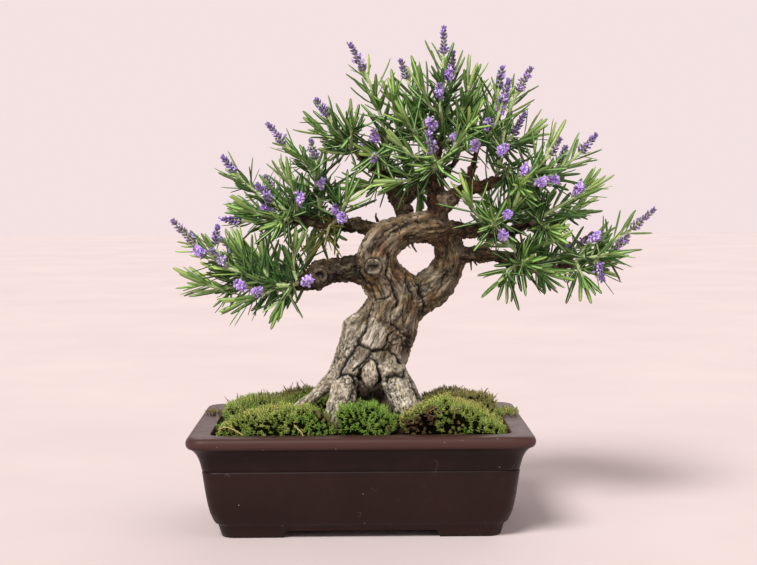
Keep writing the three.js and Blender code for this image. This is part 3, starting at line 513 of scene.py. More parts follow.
class Body:
    """Closed shapes gathered into one mesh, with named values at their points"""

    def __init__(self):
        self.points, self.faces, self.values = [], [], []
        self.count = 0

    def add(self, points, quads=(), tris=(), slot=0, **values):
        """Adds one shape [v, 3], or copies of it [k, v, 3] that share its faces"""
        points = np.asarray(points, float)
        points = points[None] if points.ndim == 2 else points
        copies, size = points.shape[:2]
        starts = self.count + size * np.arange(copies)[:, None, None]
        for faces in (quads, tris):
            if len(faces):
                faces = np.asarray(faces)
                self.faces.append(((starts + faces[None]).reshape(-1, faces.shape[1]), slot))
        self.points.append(points.reshape(-1, 3))
        self.values.append({key: np.broadcast_to(v, (copies, size)).ravel() for key, v in values.items()})
        self.count += copies * size

    def build(self, name, materials):
        keys = sorted({key for values in self.values for key in values})
        values = {
            key: np.concatenate([v.get(key, np.zeros(len(p))) for v, p in zip(self.values, self.points)])
            for key in keys
        }
        return mesh_object(name, np.vstack(self.points), self.faces, values, materials)


def crosswise(axes, turns):
    """Two directions across each axis, turned about it"""
    helper = np.where(np.abs(axes[:, 2:]) < 0.9, [[0.0, 0.0, 1.0]], [[1.0, 0.0, 0.0]])
    side = unit(np.cross(axes, helper))
    other = np.cross(axes, side)
    cosine, sine = np.cos(turns)[:, None], np.sin(turns)[:, None]
    return side * cosine + other * sine, other * cosine - side * sine


def copies(template, origins, axes, lengths, widths, turns):
    """Copies of a template whose z runs along each axis: [k, v, 3]"""
    side, other = crosswise(axes, turns)
    x, y, z = (template[None, :, k, None] for k in range(3))
    wide, long = widths[:, None, None], lengths[:, None, None]
    placed = origins[:, None] + x * wide * side[:, None] + y * wide * other[:, None]
    return placed + z * long * axes[:, None]


def dressed(piece, node):
    """Sets a finished piece to ride on the only body and hides the CAD node whose place it stands in"""
    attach(piece, "root")
    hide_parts(node)


def evaluated_mesh(made):
    """A new mesh of an object as its modifiers leave it"""
    return bpy.data.meshes.new_from_object(made.evaluated_get(bpy.context.evaluated_depsgraph_get()))


def remeshed(node, voxel):
    """Points and faces of a CAD node, remeshed evenly, in millimetres"""
    copy = linked("remesh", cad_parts[node].data.copy())
    modifier = copy.modifiers.new("remesh", "REMESH")
    modifier.mode = "VOXEL"
    modifier.voxel_size = voxel * MM
    mesh = evaluated_mesh(copy)
    points = np.zeros(len(mesh.vertices) * 3)
    mesh.vertices.foreach_get("co", points)
    corners = np.zeros(len(mesh.loops), int)
    mesh.loops.foreach_get("vertex_index", corners)
    bpy.data.objects.remove(copy)
    bpy.data.meshes.remove(mesh)
    return millimetres(points.reshape(-1, 3)), corners.reshape(-1, 4)


def colour(hexadecimal):
    """A linear colour from a screen colour such as 8d6c39"""
    screen = [int(hexadecimal[i : i + 2], 16) / 255 for i in (0, 2, 4)]
    return (*[c / 12.92 if c < 0.04045 else ((c + 0.055) / 1.055) ** 2.4 for c in screen], 1.0)


class Look:
    """A material with short calls for the nodes used here"""

    def __init__(self, name, **constants):
        self.material = bpy.data.materials.new(name)
        self.material.use_nodes = True
        self.tree = self.material.node_tree
        self.shader = self.tree.nodes["Principled BSDF"]
        for key, value in constants.items():
            self.shader.inputs[key.replace("_", " ")].default_value = value

    def node(self, kind, inputs=None, **settings):
        made = self.tree.nodes.new("ShaderNode" + kind)
        for key, value in settings.items():
            setattr(made, key, value)
        for key, value in (inputs or {}).items():
            self.put(made.inputs[key], value)
        return made

    def put(self, socket, value):
        if isinstance(value, bpy.types.NodeSocket):
            self.tree.links.new(value, socket)
        else:
            socket.default_value = value

    def value(self, name):
        return self.node("Attribute", attribute_name=name).outputs["Fac"]

    def vector(self, name):
        return self.node("Attribute", attribute_name=name).outputs["Vector"]

    def place(self):
        """The surface point in millimetres"""
        return self.stretched(self.node("TexCoord").outputs["Object"], (1 / MM, 1 / MM, 1 / MM))

    def stretched(self, where, scale):
        return self.node("VectorMath", {0: where, 1: scale}, operation="MULTIPLY").outputs[0]

    def noise(self, where, size, detail=3.0, rough=0.55):
        """Noise whose lumps are about size millimetres across"""
        inputs = {"Vector": where, "Scale": 1 / size, "Detail": detail, "Roughness": rough}
        return self.node("TexNoise", inputs).outputs["Fac"]

    def cells(self, where, size, feature="F1"):
        inputs = {"Vector": where, "Scale": 1 / size}
        return self.node("TexVoronoi", inputs, feature=feature).outputs["Distance"]

    def cell_colour(self, where, size):
        inputs = {"Vector": where, "Scale": 1 / size}
        return self.node("TexVoronoi", inputs).outputs["Color"]

    def math(self, operation, a, b=0.0, clamp=False):
        return self.node("Math", {0: a, 1: b}, operation=operation, use_clamp=clamp).outputs[0]

    def times(self, a, b):
        return self.math("MULTIPLY", a, b)

    def plus(self, a, b, clamp=False):
        return self.math("ADD", a, b, clamp)

    def off_middle(self, value):
        """A value from 0 to 1 as its distance from a half, below or above"""
        return self.math("SUBTRACT", value, 0.5)

    def thread(self, pattern, wide, thin):
        """1 along the line where a pattern crosses its middle, 0 beyond a distance of wide"""
        return self.between(self.math("ABSOLUTE", self.off_middle(pattern)), wide, thin)

    def between(self, value, low, high):
        """0 where value is low, 1 where it is high"""
        inputs = {"Value": value, "From Min": low, "From Max": high}
        return self.node("MapRange", inputs, interpolation_type="SMOOTHSTEP").outputs[0]

    def ramp(self, value, *stops):
        """A colour for a value: stops are (place, colour as hexadecimal)"""
        made = self.node("ValToRGB", {"Fac": value})
        elements = made.color_ramp.elements
        while len(elements) < len(stops):
            elements.new(0.5)
        for element, (place, shade) in zip(elements, stops):
            element.position = place
            element.color = colour(shade)
        return made.outputs["Color"]

    def mix(self, share, a, b, blend="MIX"):
        made = self.node("Mix", data_type="RGBA", blend_type=blend)
        for index, value in ((0, share), (6, a), (7, b)):
            self.put(made.inputs[index], colour(value) if isinstance(value, str) else value)
        return made.outputs[2]

    def bump(self, height, depth, strength=1.0):
        """Bump of depth millimetres, on top of any bump made before"""
        before = self.shader.inputs["Normal"].links
        inputs = {"Height": height, "Distance": depth * MM, "Strength": strength}
        if before:
            inputs["Normal"] = before[0].from_socket
        self.put(self.shader.inputs["Normal"], self.node("Bump", inputs).outputs[0])

    def set(self, **sockets):
        for key, value in sockets.items():
            self.put(self.shader.inputs[key.replace("_", " ")], value)


def bark_look():
    look = Look("bark", Specular_IOR_Level=0.22)
    grain, where = look.vector("grain"), look.place()
    crack_and_shade, pale, rust, dark_and_shade = (look.value(key) for key in ("crack_and_shade", "pale", "rust", "dark_and_shade"))
    strips = look.noise(grain, 2.6, 5, 0.6)
    fine = look.noise(grain, 0.8, 5, 0.65)
    blotch = look.noise(where, 9, 4)
    both = look.plus(look.times(strips, 0.6), look.times(fine, 0.4))
    common = look.ramp(both, (0.36, "272015"), (0.46, "5a4d36"), (0.55, "8a7b5d"), (0.66, "c0b08e"))
    ochre = look.ramp(both, (0.36, "2a1d0f"), (0.48, "6a5130"), (0.64, "aa8d5d"))
    common = look.mix(look.between(blotch, 0.44, 0.66), common, ochre)
    chips = look.cells(grain, 1.5)
    pale_shade = look.plus(look.times(both, 0.65), look.times(chips, 0.3))
    bleached = look.ramp(pale_shade, (0.3, "524a3c"), (0.42, "a0957f"), (0.57, "e4ddcc"))
    reddish = look.ramp(both, (0.36, "1c0f08"), (0.5, "573520"), (0.64, "936846"))
    shade = look.mix(pale, common, bleached)
    shade = look.mix(rust, shade, reddish)
    vein = look.thread(look.noise(grain, 2.4, 2, 0.4), 0.034, 0.012)
    vein = look.times(vein, look.between(look.noise(where, 5, 2), 0.4, 0.55))
    shade = look.mix(look.times(vein, 0.75), shade, "120c07")
    # Darker limbs: partly the bark's own tone, partly painted shade where the foliage shades them
    shade = look.mix(look.times(dark_and_shade, 0.8), shade, "3a2e22", "MULTIPLY")
    # Near-black where the cracks, grooves, knots' eyes and the hollow between the roots are: painted shade
    shade = look.mix(crack_and_shade, shade, "070403")
    look.set(Base_Color=shade, Roughness=look.between(fine, -0.6, 1.4))
    look.bump(strips, 1.0, 0.6)
    look.bump(fine, 0.6, 0.8)
    look.bump(look.noise(where, 0.5, 4, 0.7), 0.3, 0.7)
    return look.material


def leaf_look():
    look = Look("leaf", Specular_IOR_Level=0.3, Subsurface_Weight=0.06, Subsurface_Scale=0.0008)
    across, face, reach = look.value("across"), look.value("face"), look.value("reach")
    age, chance, dry = look.value("age"), look.value("chance"), look.value("dry")
    older = look.plus(age, look.times(look.off_middle(chance), 0.45), clamp=True)
    upper = look.ramp(older, (0.0, "b4d566"), (0.25, "86b54b"), (0.55, "4a8430"), (1.0, "1b4519"))
    side = look.math("ABSOLUTE", across)
    vein = look.between(side, 0.32, 0.1)
    upper = look.mix(look.times(vein, 0.85), upper, "d0e5a3")
    upper = look.mix(look.times(look.between(side, 0.6, 0.95), 0.75), upper, "16350f")
    under = look.ramp(older, (0.0, "bcd88c"), (0.5, "7fa458"), (1.0, "4a6f39"))
    under = look.mix(look.times(look.between(side, 0.7, 1.0), 0.6), under, "2a4a1c")
    shade = look.mix(look.between(face, 0.25, 0.6), under, upper)
    shade = look.mix(look.between(reach, 0.24, 0.02), shade, "c6dca4")
    shade = look.mix(look.times(look.between(reach, 0.93, 1.0), 0.65), shade, "5a4a22")
    mottle = look.noise(look.place(), 2.5, 3)
    shade = look.mix(look.times(mottle, 0.25), shade, "2c4a1c", "MULTIPLY")
    withered = look.ramp(mottle, (0.35, "3c421b"), (0.6, "747233"))
    shade = look.mix(dry, shade, withered)
    look.set(Base_Color=shade, Roughness=look.between(mottle, -1.6, 1.6))
    look.bump(look.noise(look.place(), 0.4, 2), 0.06, 0.5)
    return look.material


def stem_look():
    look = Look("stem", Roughness=0.62, Specular_IOR_Level=0.3, Sheen_Weight=0.2)
    woody = look.value("woody")
    grain = look.noise(look.place(), 0.9, 3)
    fresh = look.ramp(grain, (0.35, "8fab5e"), (0.6, "c6d7a0"))
    brown = look.ramp(grain, (0.35, "3c2a1a"), (0.6, "83674a"))
    look.set(Base_Color=look.mix(woody, fresh, brown))
    look.bump(look.noise(look.place(), 0.35, 3), 0.12, 0.6)
    return look.material


def bud_look():
    look = Look("bud", Roughness=0.6, Specular_IOR_Level=0.25, Sheen_Weight=0.2)
    reach, chance = look.value("reach"), look.value("chance")
    calyx = look.ramp(chance, (0.0, "6d5590"), (0.5, "776683"), (1.0, "92877f"))
    end = look.ramp(chance, (0.0, "8e72cc"), (0.6, "8b7aac"), (1.0, "a097a0"))
    shade = look.mix(look.between(reach, 0.4, 0.95), calyx, end)
    shade = look.mix(look.between(reach, 0.22, 0.0), shade, "8b8d68")
    ribs = look.noise(look.place(), 0.35, 2)
    look.set(Base_Color=look.mix(look.times(ribs, 0.4), shade, "3a2d50", "MULTIPLY"))
    look.bump(ribs, 0.1, 0.6)
    return look.material


def petal_look():
    look = Look("petal", Roughness=0.5, Specular_IOR_Level=0.3)
    look.set(Subsurface_Weight=0.12, Subsurface_Scale=0.0008)
    reach, chance = look.value("reach"), look.value("chance")
    violet = look.ramp(chance, (0.0, "b48ced"), (0.5, "cdaef6"), (1.0, "e9d8fd"))
    shade = look.mix(look.between(reach, 0.3, 0.0), violet, "ecdffc")
    spots = look.noise(look.place(), 0.5, 2)
    shade = look.mix(look.times(look.between(spots, 0.52, 0.72), 0.3), shade, "8252cc")
    look.set(Base_Color=shade)
    look.bump(spots, 0.08, 0.5)
    return look.material


def moss_look():
    look = Look("moss", Roughness=0.6, Subsurface_Weight=0.06, Subsurface_Scale=0.001)
    tip, yellow, brown, chance = (look.value(key) for key in ("tip", "yellow", "brown", "chance"))
    height = look.plus(tip, look.times(look.off_middle(chance), 0.3))
    # The ramps' near-black low ends, at the shoots' feet and on the cushion under them, are painted shade
    # deep in the moss
    green = look.ramp(height, (0.0, "0a1303"), (0.3, "37660f"), (0.65, "8bc22c"), (1.0, "d3ec74"))
    gold = look.ramp(height, (0.0, "161504"), (0.3, "747a1c"), (0.65, "cbc946"), (1.0, "f4ee9f"))
    rusty = look.ramp(height, (0.0, "0a0603"), (0.3, "3d2b12"), (0.65, "6f5424"), (1.0, "ac8d4e"))
    shade = look.mix(yellow, green, gold)
    shade = look.mix(brown, shade, rusty)
    fleck = look.noise(look.place(), 0.7, 2)
    shade = look.mix(look.times(fleck, 0.3), shade, "35501a", "MULTIPLY")
    look.set(Base_Color=shade, Specular_IOR_Level=look.between(tip, 0.0, 0.6))
    look.bump(fleck, 0.1, 0.5)
    return look.material


def soil_look():
    look = Look("soil", Roughness=0.95, Specular_IOR_Level=0.2)
    where = look.place()
    crumb = look.cells(where, 1.6)
    shade = look.ramp(look.noise(where, 2.2, 5, 0.7), (0.35, "0f0a07"), (0.52, "2a1d13"), (0.7, "4c3826"))
    grit = look.between(look.cells(where, 2.4), 0.16, 0.1)
    shade = look.mix(look.times(grit, 0.35), shade, "a39a86")
    look.set(Base_Color=shade)
    look.bump(crumb, 0.6, 0.8)
    return look.material


def straw_look():
    look = Look("straw", Roughness=0.6, Specular_IOR_Level=0.3)
    fibre = look.noise(look.stretched(look.place(), (1, 1, 0.3)), 0.7, 3)
    look.set(Base_Color=look.ramp(fibre, (0.35, "8a7444"), (0.6, "cdbb82")))
    look.bump(fibre, 0.1, 0.5)
    return look.material


def pot_look():
    look = Look("pot", Specular_IOR_Level=0.2)
    where, rim_light_cove_shade = look.place(), look.value("rim_light_cove_shade")
    cloud = look.noise(where, 26, 4)
    shade = look.ramp(cloud, (0.35, "170906"), (0.65, "1f0e0b"))
    # Painted light and shade: lighter on the rim's top and rounded front where light falls, darker in the
    # cove under the rim
    shade = look.mix(look.times(rim_light_cove_shade, 0.75), shade, "4e332f")
    dusty = look.times(look.between(look.noise(where, 7, 5, 0.7), 0.5, 0.8), 0.1)
    shade = look.mix(dusty, shade, "4a3330")
    speck_cell = look.cell_colour(where, 5.5)
    chosen = look.between(look.node("SeparateColor", {"Color": speck_cell}).outputs[0], 0.6, 0.64)
    speck = look.times(look.between(look.cells(where, 5.5), 0.07, 0.04), chosen)
    line = look.thread(look.noise(where, 22, 2, 0.5), 0.0016, 0.0006)
    scratch = look.times(line, look.between(look.noise(where, 11, 2), 0.6, 0.66))
    marks = look.math("MAXIMUM", look.times(speck, 0.7), look.times(scratch, 0.3))
    shade = look.mix(marks, shade, "b8aaa0")
    smudge = look.between(look.noise(where, 12, 5, 0.65), 0.2, 0.9)
    rough = look.node("Math", {0: smudge, 1: 0.2, 2: 0.36}, operation="MULTIPLY_ADD").outputs[0]
    look.set(Base_Color=shade, Roughness=rough)
    look.bump(look.noise(where, 0.7, 3, 0.6), 0.05, 0.5)
    look.bump(look.noise(where, 18, 3), 0.4, 0.3)
    return look.material


def screen_look():
    look = Look("screen", Roughness=0.6)
    weave = look.noise(look.place(), 0.8, 3)
    look.set(Base_Color=look.ramp(weave, (0.35, "141514"), (0.65, "2c2e2b")))
    look.bump(weave, 0.1, 0.5)
    return look.material


def floor_look():
    look = Look("floor", Roughness=0.9, Specular_IOR_Level=0.0)
    cloud = look.noise(look.place(), 240, 3)
    look.set(Base_Color=look.ramp(cloud, (0.3, "d3c5c5"), (0.7, "d9cccb")))
    return look.material


BARK, LEAVES, STEMS, BUDS, PETALS = bark_look(), leaf_look(), stem_look(), bud_look(), petal_look()
MOSS_LOOK, EARTH, STRAW, PLASTIC, MESH = moss_look(), soil_look(), straw_look(), pot_look(), screen_look()
FOLIAGE = [LEAVES, STEMS, BUDS, PETALS]

# Bark by kind of limb: long strips (across, along, depth), plates (across, along, crack width, depth), how
# high loose flakes and small bumps are, and how much the shader's pattern is squeezed along the grain
BARK_STYLES = {
    "trunk": ((5, 34, 0.9), (7, 19, 0.11, 1.3), 0.5, 0.55, 0.2),
    "arm": ((3.6, 36, 1.0), (5, 22, 0.11, 1.0), 0.45, 0.6, 0.17),
    "branch": ((3, 12, 0.5), (3.2, 5.5, 0.17, 0.8), 0.75, 0.8, 0.4),
    "root": ((5, 26, 0.4), (2.6, 3.6, 0.16, 0.4), 0.14, 0.25, 0.7),
}
# How bleached, how red-brown and how dark the bark of each limb is; the darkness is partly the bark's tone
# and partly painted shade where foliage shades the limb
BARK_TONE_AND_SHADE = {
    "trunk": (0.16, 0.0, 0.2),
    "arm_left": (0.15, 0.05, 0.12),
    "arm_right": (0.1, 0.05, 0.2),
    "apex": (0.0, 0.8, 0.2),
    "branch_left_low": (0.0, 0.1, 0.9),
    "branch_left_mid": (0.0, 0.3, 0.55),
    "branch_left_up": (0.0, 0.5, 0.5),
    "branch_back": (0.0, 0.5, 0.5),
    "branch_right_up": (0.0, 0.8, 0.3),
    "twig_upper_right": (0.0, 0.7, 0.4),
    "branch_right_mid": (0.0, 0.7, 0.4),
    "branch_right_low": (0.0, 0.6, 0.3),
    "branch_back_right": (0.0, 0.4, 0.5),
    "knot_arm": (0.25, 0.05, 0.0),
    "knot_left_low": (0.1, 0.1, 0.35),
    "stub_right_up": (0.4, 0.3, 0.0),
}
ROOT_TONE = (0.85, 0.0, 0.0)
# Short dry spurs on the branches: how many for each millimetre of wood, length, radius, radius of the wood
SPURS = {"share": 0.11, "length": (1.4, 4.2), "radius": (0.35, 0.7), "from_radius": (2.4, 13.5)}
SPUR_TONE = {"crack_and_shade": 0.0, "pale": 0.1, "rust": 0.4, "dark_and_shade": 0.5}
# Spurs that the front shows: their points
SPUR_SPOTS = [
    [(33, -8, 182), (34.5, -8.2, 178), (36.8, -8.5, 174.6)],
    [(72.4, 2.5, 171), (72.6, 2.2, 166), (72.9, 2, 162)],
    [(74, 2, 170), (75, 1.8, 167.6), (76.7, 1.6, 165)],
    [(-14, -9, 170), (-14.5, -9.4, 173.4), (-13.4, -9.6, 175.6)],
    [(12, 6, 194), (10.5, 5, 197.6), (10.8, 4.6, 200)],
]
# Where the camera stands, and the upright plane y = FRONT on which the marks of the front are given as x, z
EYE = (0, -1031, 218)
FRONT = -20
# Deep cracks on the trunk's front: half width and points
CRACKS = {
    "arm_right": (1.15, [(35, 159), (38, 155), (39, 150), (41, 144), (41, 139), (40, 133)]),
    "gap_left": (
        1.28,
        [
            (18, 175), (19, 171), (18, 166), (17, 160), (20, 155),
            (22, 151), (23, 146), (24, 141), (20, 137), (19, 132),
        ],
    ),
    "middle_strip": (1.02, [(29, 161), (30, 155), (33, 151), (34, 146), (35, 141)]),
    "down_right": (1.02, [(19, 132), (23, 127), (29, 122)]),
    "hook": (0.77, [(22, 125), (17, 121), (17, 118), (21, 116), (23, 116)]),
    "left_long": (1.41, [(8, 143), (6, 138), (4, 132), (3, 125), (-1, 120), (-2, 116)]),
    "left_root": (1.54, [(-2, 116), (-5, 111), (-8, 107), (-13, 100), (-16, 94)]),
    "across": (1.15, [(-1, 116), (4, 114), (7, 112), (13, 112), (16, 115)]),
    "across_left": (0.9, [(7, 112), (5, 108), (2, 105), (-5, 99)]),
    "across_right": (1.02, [(13, 112), (19, 112), (23, 108), (26, 104), (28, 99)]),
    "burl_left": (1.28, [(6, 107), (0, 101), (-1, 95), (2, 90), (5, 87)]),
    "burl_right": (1.28, [(6, 107), (11, 103), (12, 98), (12, 91), (8, 87)]),
    "root_right_arch": (1.66, [(16, 91), (17, 95), (22, 97), (28, 96), (32, 90), (36, 83)]),
    "root_left_arch": (1.66, [(-16, 93), (-13, 97), (-8, 98), (-4, 95), (-2, 88), (-2, 81)]),
    "collar": (1.02, [(-3, 174), (-3, 169), (-2, 163), (2, 158), (5, 155)]),
    "slope": (0.77, [(10, 144), (14, 145), (19, 147), (22, 151)]),
    "left_edge": (1.02, [(-13, 115), (-15, 106), (-17, 99)]),
    "thin": (0.51, [(28, 140), (27, 131)]),
    "right_low": (0.77, [(30, 119), (27, 111), (26, 105)]),
    "knot_out": (0.77, [(5, 155), (8, 151), (10, 144)]),
    "right_root_side": (1.15, [(27, 99), (31, 93), (35, 83)]),
}
# Old pruning knots: middle and radius
KNOTS = {"arm": ((8.6, 165.8), 4.6), "left_low": ((-25.6, 160.6), 4.0)}
# Warm stains: middle, half sizes
STAINS = {"arm_foot": ((24, 161), (5, 10)), "arm_middle": ((13, 178), (6, 8))}
# Smooth bleached swellings on the front: middle, half sizes, rise
BURLS = {"low": ((5.7, 97), (6, 10), 1.6), "middle": ((8, 123), (9, 11), 0.8)}
# Shaded hollow between the front roots: middle, half sizes, and the y in front of which nothing is shaded
HOLLOW = ((8, 74), (9, 15), -24)
# Heights between which the foot bleaches, the relief grows half as high, and the form leaves the soil
BLEACHED_BELOW = (112, 98)
IN_MOSS = (78, 70)
IN_SOIL = (53, 60)
VOXEL = {"fine": 0.86, "quick": 2.0}
FLAT_END = 1.5  # how flat the ends of limbs are, 0 for a round end
CLOSE = 9  # how far from a limb's skin points still belong to it
GRAIN_SHIFT = 60.0  # sets the patterns of one limb apart from the next one's
BLEND = 1.1  # over how many millimetres limbs flow into each other
FAR = 60.0  # a distance to the wood that stands for anything further away


class Limb:
    """One woody limb: its axis, thickness, and the grain that runs along it"""

    def __init__(self, name, number):
        rows = smooth_path(LIMBS[name], 6)
        self.path, self.radius = rows[:, :3], rows[:, 3]
        _, self.normals, self.binormals = frames_along(self.path)
        self.reach = travelled(self.path)
        self.shift = GRAIN_SHIFT * number
        kind = name.split("_")[0]
        self.style = kind if kind in BARK_STYLES else "trunk" if kind == "burl" else "branch"
        self.pale, self.rust, self.dark_and_shade = BARK_TONE_AND_SHADE.get(name, ROOT_TONE)

    def near(self, p):
        """Distance to the skin, direction away from the axis and place in the grain, for points close by"""
        margin = self.radius.max() + CLOSE
        low, high = self.path.min(axis=0) - margin, self.path.max(axis=0) + margin
        which = np.flatnonzero(np.all((p > low) & (p < high), axis=1))
        q = p[which]
        best = np.full(len(q), 1e9)
        found = np.zeros((len(q), 7))
        last = len(self.path) - 2
        for i in range(last + 1):
            start, step = self.path[i], self.path[i + 1] - self.path[i]
            size = np.linalg.norm(step)
            t = np.clip((q - start) @ step / size**2, 0, 1)
            away = q - start - t[:, None] * step
            slope = away
            if i in (0, last):
                beyond = (t == 0) if i == 0 else (t == 1)
                axis = step / size
                away = away + FLAT_END * (beyond * (away @ axis))[:, None] * axis
                slope = away + FLAT_END * (beyond * (away @ axis))[:, None] * axis
            distance = np.maximum(np.linalg.norm(away, axis=1), 1e-6)
            slope = slope / distance[:, None]
            steep = np.maximum(np.linalg.norm(slope, axis=1), 1e-6)
            skin = (distance - (self.radius[i] + t * (self.radius[i + 1] - self.radius[i]))) / steep
            nearer = skin < best
            best = np.where(nearer, skin, best)
            grain = (away @ self.normals[i], away @ self.binormals[i], self.reach[i] + t * size)
            row = np.column_stack([skin, slope / steep[:, None], *grain])
            found[nearer] = row[nearer]
        return which, found


WOOD = [Limb(name, number) for number, name in enumerate(LIMBS)]


def wood(p):
    """Distance to the wood as one smooth body, its outward direction, each limb's share, and its grain"""
    skins = np.full((len(p), len(WOOD)), FAR)
    rows = np.zeros((len(p), len(WOOD), 6))
    for i, limb in enumerate(WOOD):
        which, found = limb.near(p)
        skins[which, i] = found[:, 0]
        rows[which, i] = found[:, 1:]
    least = skins.min(axis=1)
    shares = np.exp(-(skins - least[:, None]) / BLEND)
    total = shares.sum(axis=1)
    distance = least - BLEND * np.log(total)
    shares /= total[:, None]
    outward = unit(np.einsum("pl,plk->pk", shares, rows[:, :, :3]))
    return distance, outward, shares, rows[:, :, 3:]


def point_normals(points, quads):
    """Directions out of a mesh at its points"""
    a, b, c, d = (points[quads[:, k]] for k in range(4))
    across = np.repeat(np.cross(c - a, d - b), 4, axis=0)
    return unit(np.stack([np.bincount(quads.ravel(), across[:, k], len(points)) for k in range(3)], axis=1))


def relaxed(points, quads, amount, rounds):
    """Points moved towards the middle of their neighbours"""
    a, b = quads.ravel(), np.roll(quads, -1, axis=1).ravel()
    size = len(points)
    count = np.bincount(a, minlength=size) + np.bincount(b, minlength=size)
    for _ in range(rounds):
        middle = np.empty_like(points)
        for k in range(3):
            middle[:, k] = np.bincount(a, points[b, k], size) + np.bincount(b, points[a, k], size)
        points = points + amount * (middle / count[:, None] - points)
    return points


def bark(p, grain, limb):
    """Height of one limb's bark, depth of its cracks and grooves, whose near-black colour is painted shade,
    and number of its plate, at points in its grain
    """
    strip, plate, flake, rough, _ = BARK_STYLES[limb.style]
    g = grain + limb.shift
    wide, long, depth = strip
    bend = 0.35 * noise(p / 7, 3)[:, None]
    strips = noise(g / (wide, wide, long) + bend, 5)
    groove = 1 - ease(0.0, 0.2, np.abs(strips))
    height = depth * (0.7 * noise(g / (wide * 1.6, wide * 1.6, long), 9) - 0.8 * groove)
    wide, long, width, cut = plate
    warp = 0.3 * np.stack([noise(p / 4, 21 + k, 2) for k in range(3)], axis=1)
    nearest, second, chance = cells(g / (wide, wide, long) + warp, 31)
    crack_and_shade = 1 - ease(width * 0.35, width, second - nearest)
    height += cut * (0.35 * ease(0, 0.5, second - nearest) - crack_and_shade)
    height += flake * (2 * chance - 1)
    height += rough * (noise(p / 2.6, 35, 2) - 0.35 * np.abs(noise(p / 1.5, 37)))
    # The share of crack and groove comes back as the near-black painted shade of the bark's colour
    return height, np.maximum(0.95 * crack_and_shade * ease(-0.6, 0.2, noise(p / 9, 41)), 0.55 * groove), chance


def seen_from_front(p):
    """Where points appear on the plane y = FRONT, looked at from EYE"""
    share = (FRONT - EYE[1]) / (p[:, 1] - EYE[1])
    return EYE[0] + (p[:, 0] - EYE[0]) * share, EYE[2] + (p[:, 2] - EYE[2]) * share


def line_distance(x, z, line):
    """Distance on the front plane to a line of points, and the share of the way along it"""
    best, where = np.full(len(x), 1e9), np.zeros(len(x))
    for i, ((x0, z0), (x1, z1)) in enumerate(zip(line, line[1:])):
        dx, dz = x1 - x0, z1 - z0
        t = np.clip(((x - x0) * dx + (z - z0) * dz) / (dx * dx + dz * dz), 0, 1)
        distance = np.hypot(x - x0 - t * dx, z - z0 - t * dz)
        nearer = distance < best
        best = np.where(nearer, distance, best)
        where = np.where(nearer, (i + t) / (len(line) - 1), where)
    return best, where


def off(x, z, middle, half):
    """How far places are from the middle of an oval, 1 on its edge"""
    return np.hypot((x - middle[0]) / half[0], (z - middle[1]) / half[1])


def ridge(x, middle, width):
    """1 at the middle of a soft ridge, 0 far from it"""
    return np.exp(-(((x - middle) / width) ** 2))


def front_marks(p, normals):
    """Cracks, knots, swellings and stains of the trunk's front: height, crack with painted shade (the
    cracks, the knots' eyes and the hollow between the roots), pale, rust, share of knot
    """
    x, z = seen_from_front(p)
    facing = ease(0.05, 0.45, -normals[:, 1]) * (p[:, 1] < 4)
    wander_x, wander_z = 0.9 * noise(p / 3, 51, 2), 0.9 * noise(p / 3, 57, 2)
    height, crack_and_shade = np.zeros(len(p)), np.zeros(len(p))
    pale, rust, knot = (np.zeros(len(p)) for _ in range(3))
    for width, line in CRACKS.values():
        distance, where = line_distance(x + wander_x, z + wander_z, line)
        half = width * (0.45 + 0.55 * np.sin(math.pi * np.clip(where, 0.06, 0.94)))
        cut = 1 - ease(0.35, 1.35, distance / half)
        lip = 0.35 * ridge(distance / half, 2.1, 1)
        # The crack lines' near-black colour is painted shade
        crack_and_shade = np.maximum(crack_and_shade, cut * facing)
        height += facing * (lip - np.where(cut > 0, 1.1 * width * cut, 0))
    for middle, radius in KNOTS.values():
        d = off(x, z, middle, (1, 1)) / radius * (1 + 0.07 * noise(p / 3, 61))
        inside = facing * (1 - ease(1.5, 1.9, d))
        eye, groove = 1 - ease(0.42, 0.66, d), ridge(d, 1.32, 0.17)
        height += inside * (1.1 * ridge(d, 0.95, 0.24) - 1.2 * groove - 2.6 * eye)
        # The knot's eye and its ring groove are painted near-black: painted shade in the hole and the groove
        crack_and_shade = np.maximum(crack_and_shade, inside * np.maximum(1 - ease(0.62, 0.85, d), 0.95 * groove))
        crack_and_shade = np.maximum(crack_and_shade, inside * 0.4 * ridge(d, 0.86, 0.07))
        knot = np.maximum(knot, inside)
        pale = np.maximum(pale, 0.42 * inside * ease(0.6, 0.8, d) * (1 - ease(1.1, 1.25, d)))
    for middle, half, rise in BURLS.values():
        d = off(x, z, middle, half) + 0.15 * noise(p / 4, 67)
        patch = facing * (1 - ease(0.75, 1.05, d))
        height += rise * patch * np.sqrt(np.clip(1 - d**2, 0, 1))
        pale = np.maximum(pale, 0.85 * patch)
    for middle, half in STAINS.values():
        rust = np.maximum(rust, 0.7 * facing * (1 - ease(0.4, 1.1, off(x, z, middle, half))))
    middle, half, front = HOLLOW
    # Painted shade over the hollow between the front roots, only behind y = front
    inside = 0.85 * (1 - ease(0.7, 1.1, off(x, z, middle, half)))
    crack_and_shade = np.maximum(crack_and_shade, inside * ease(front, front + 5, p[:, 1]))
    return height, crack_and_shade, pale, rust, knot


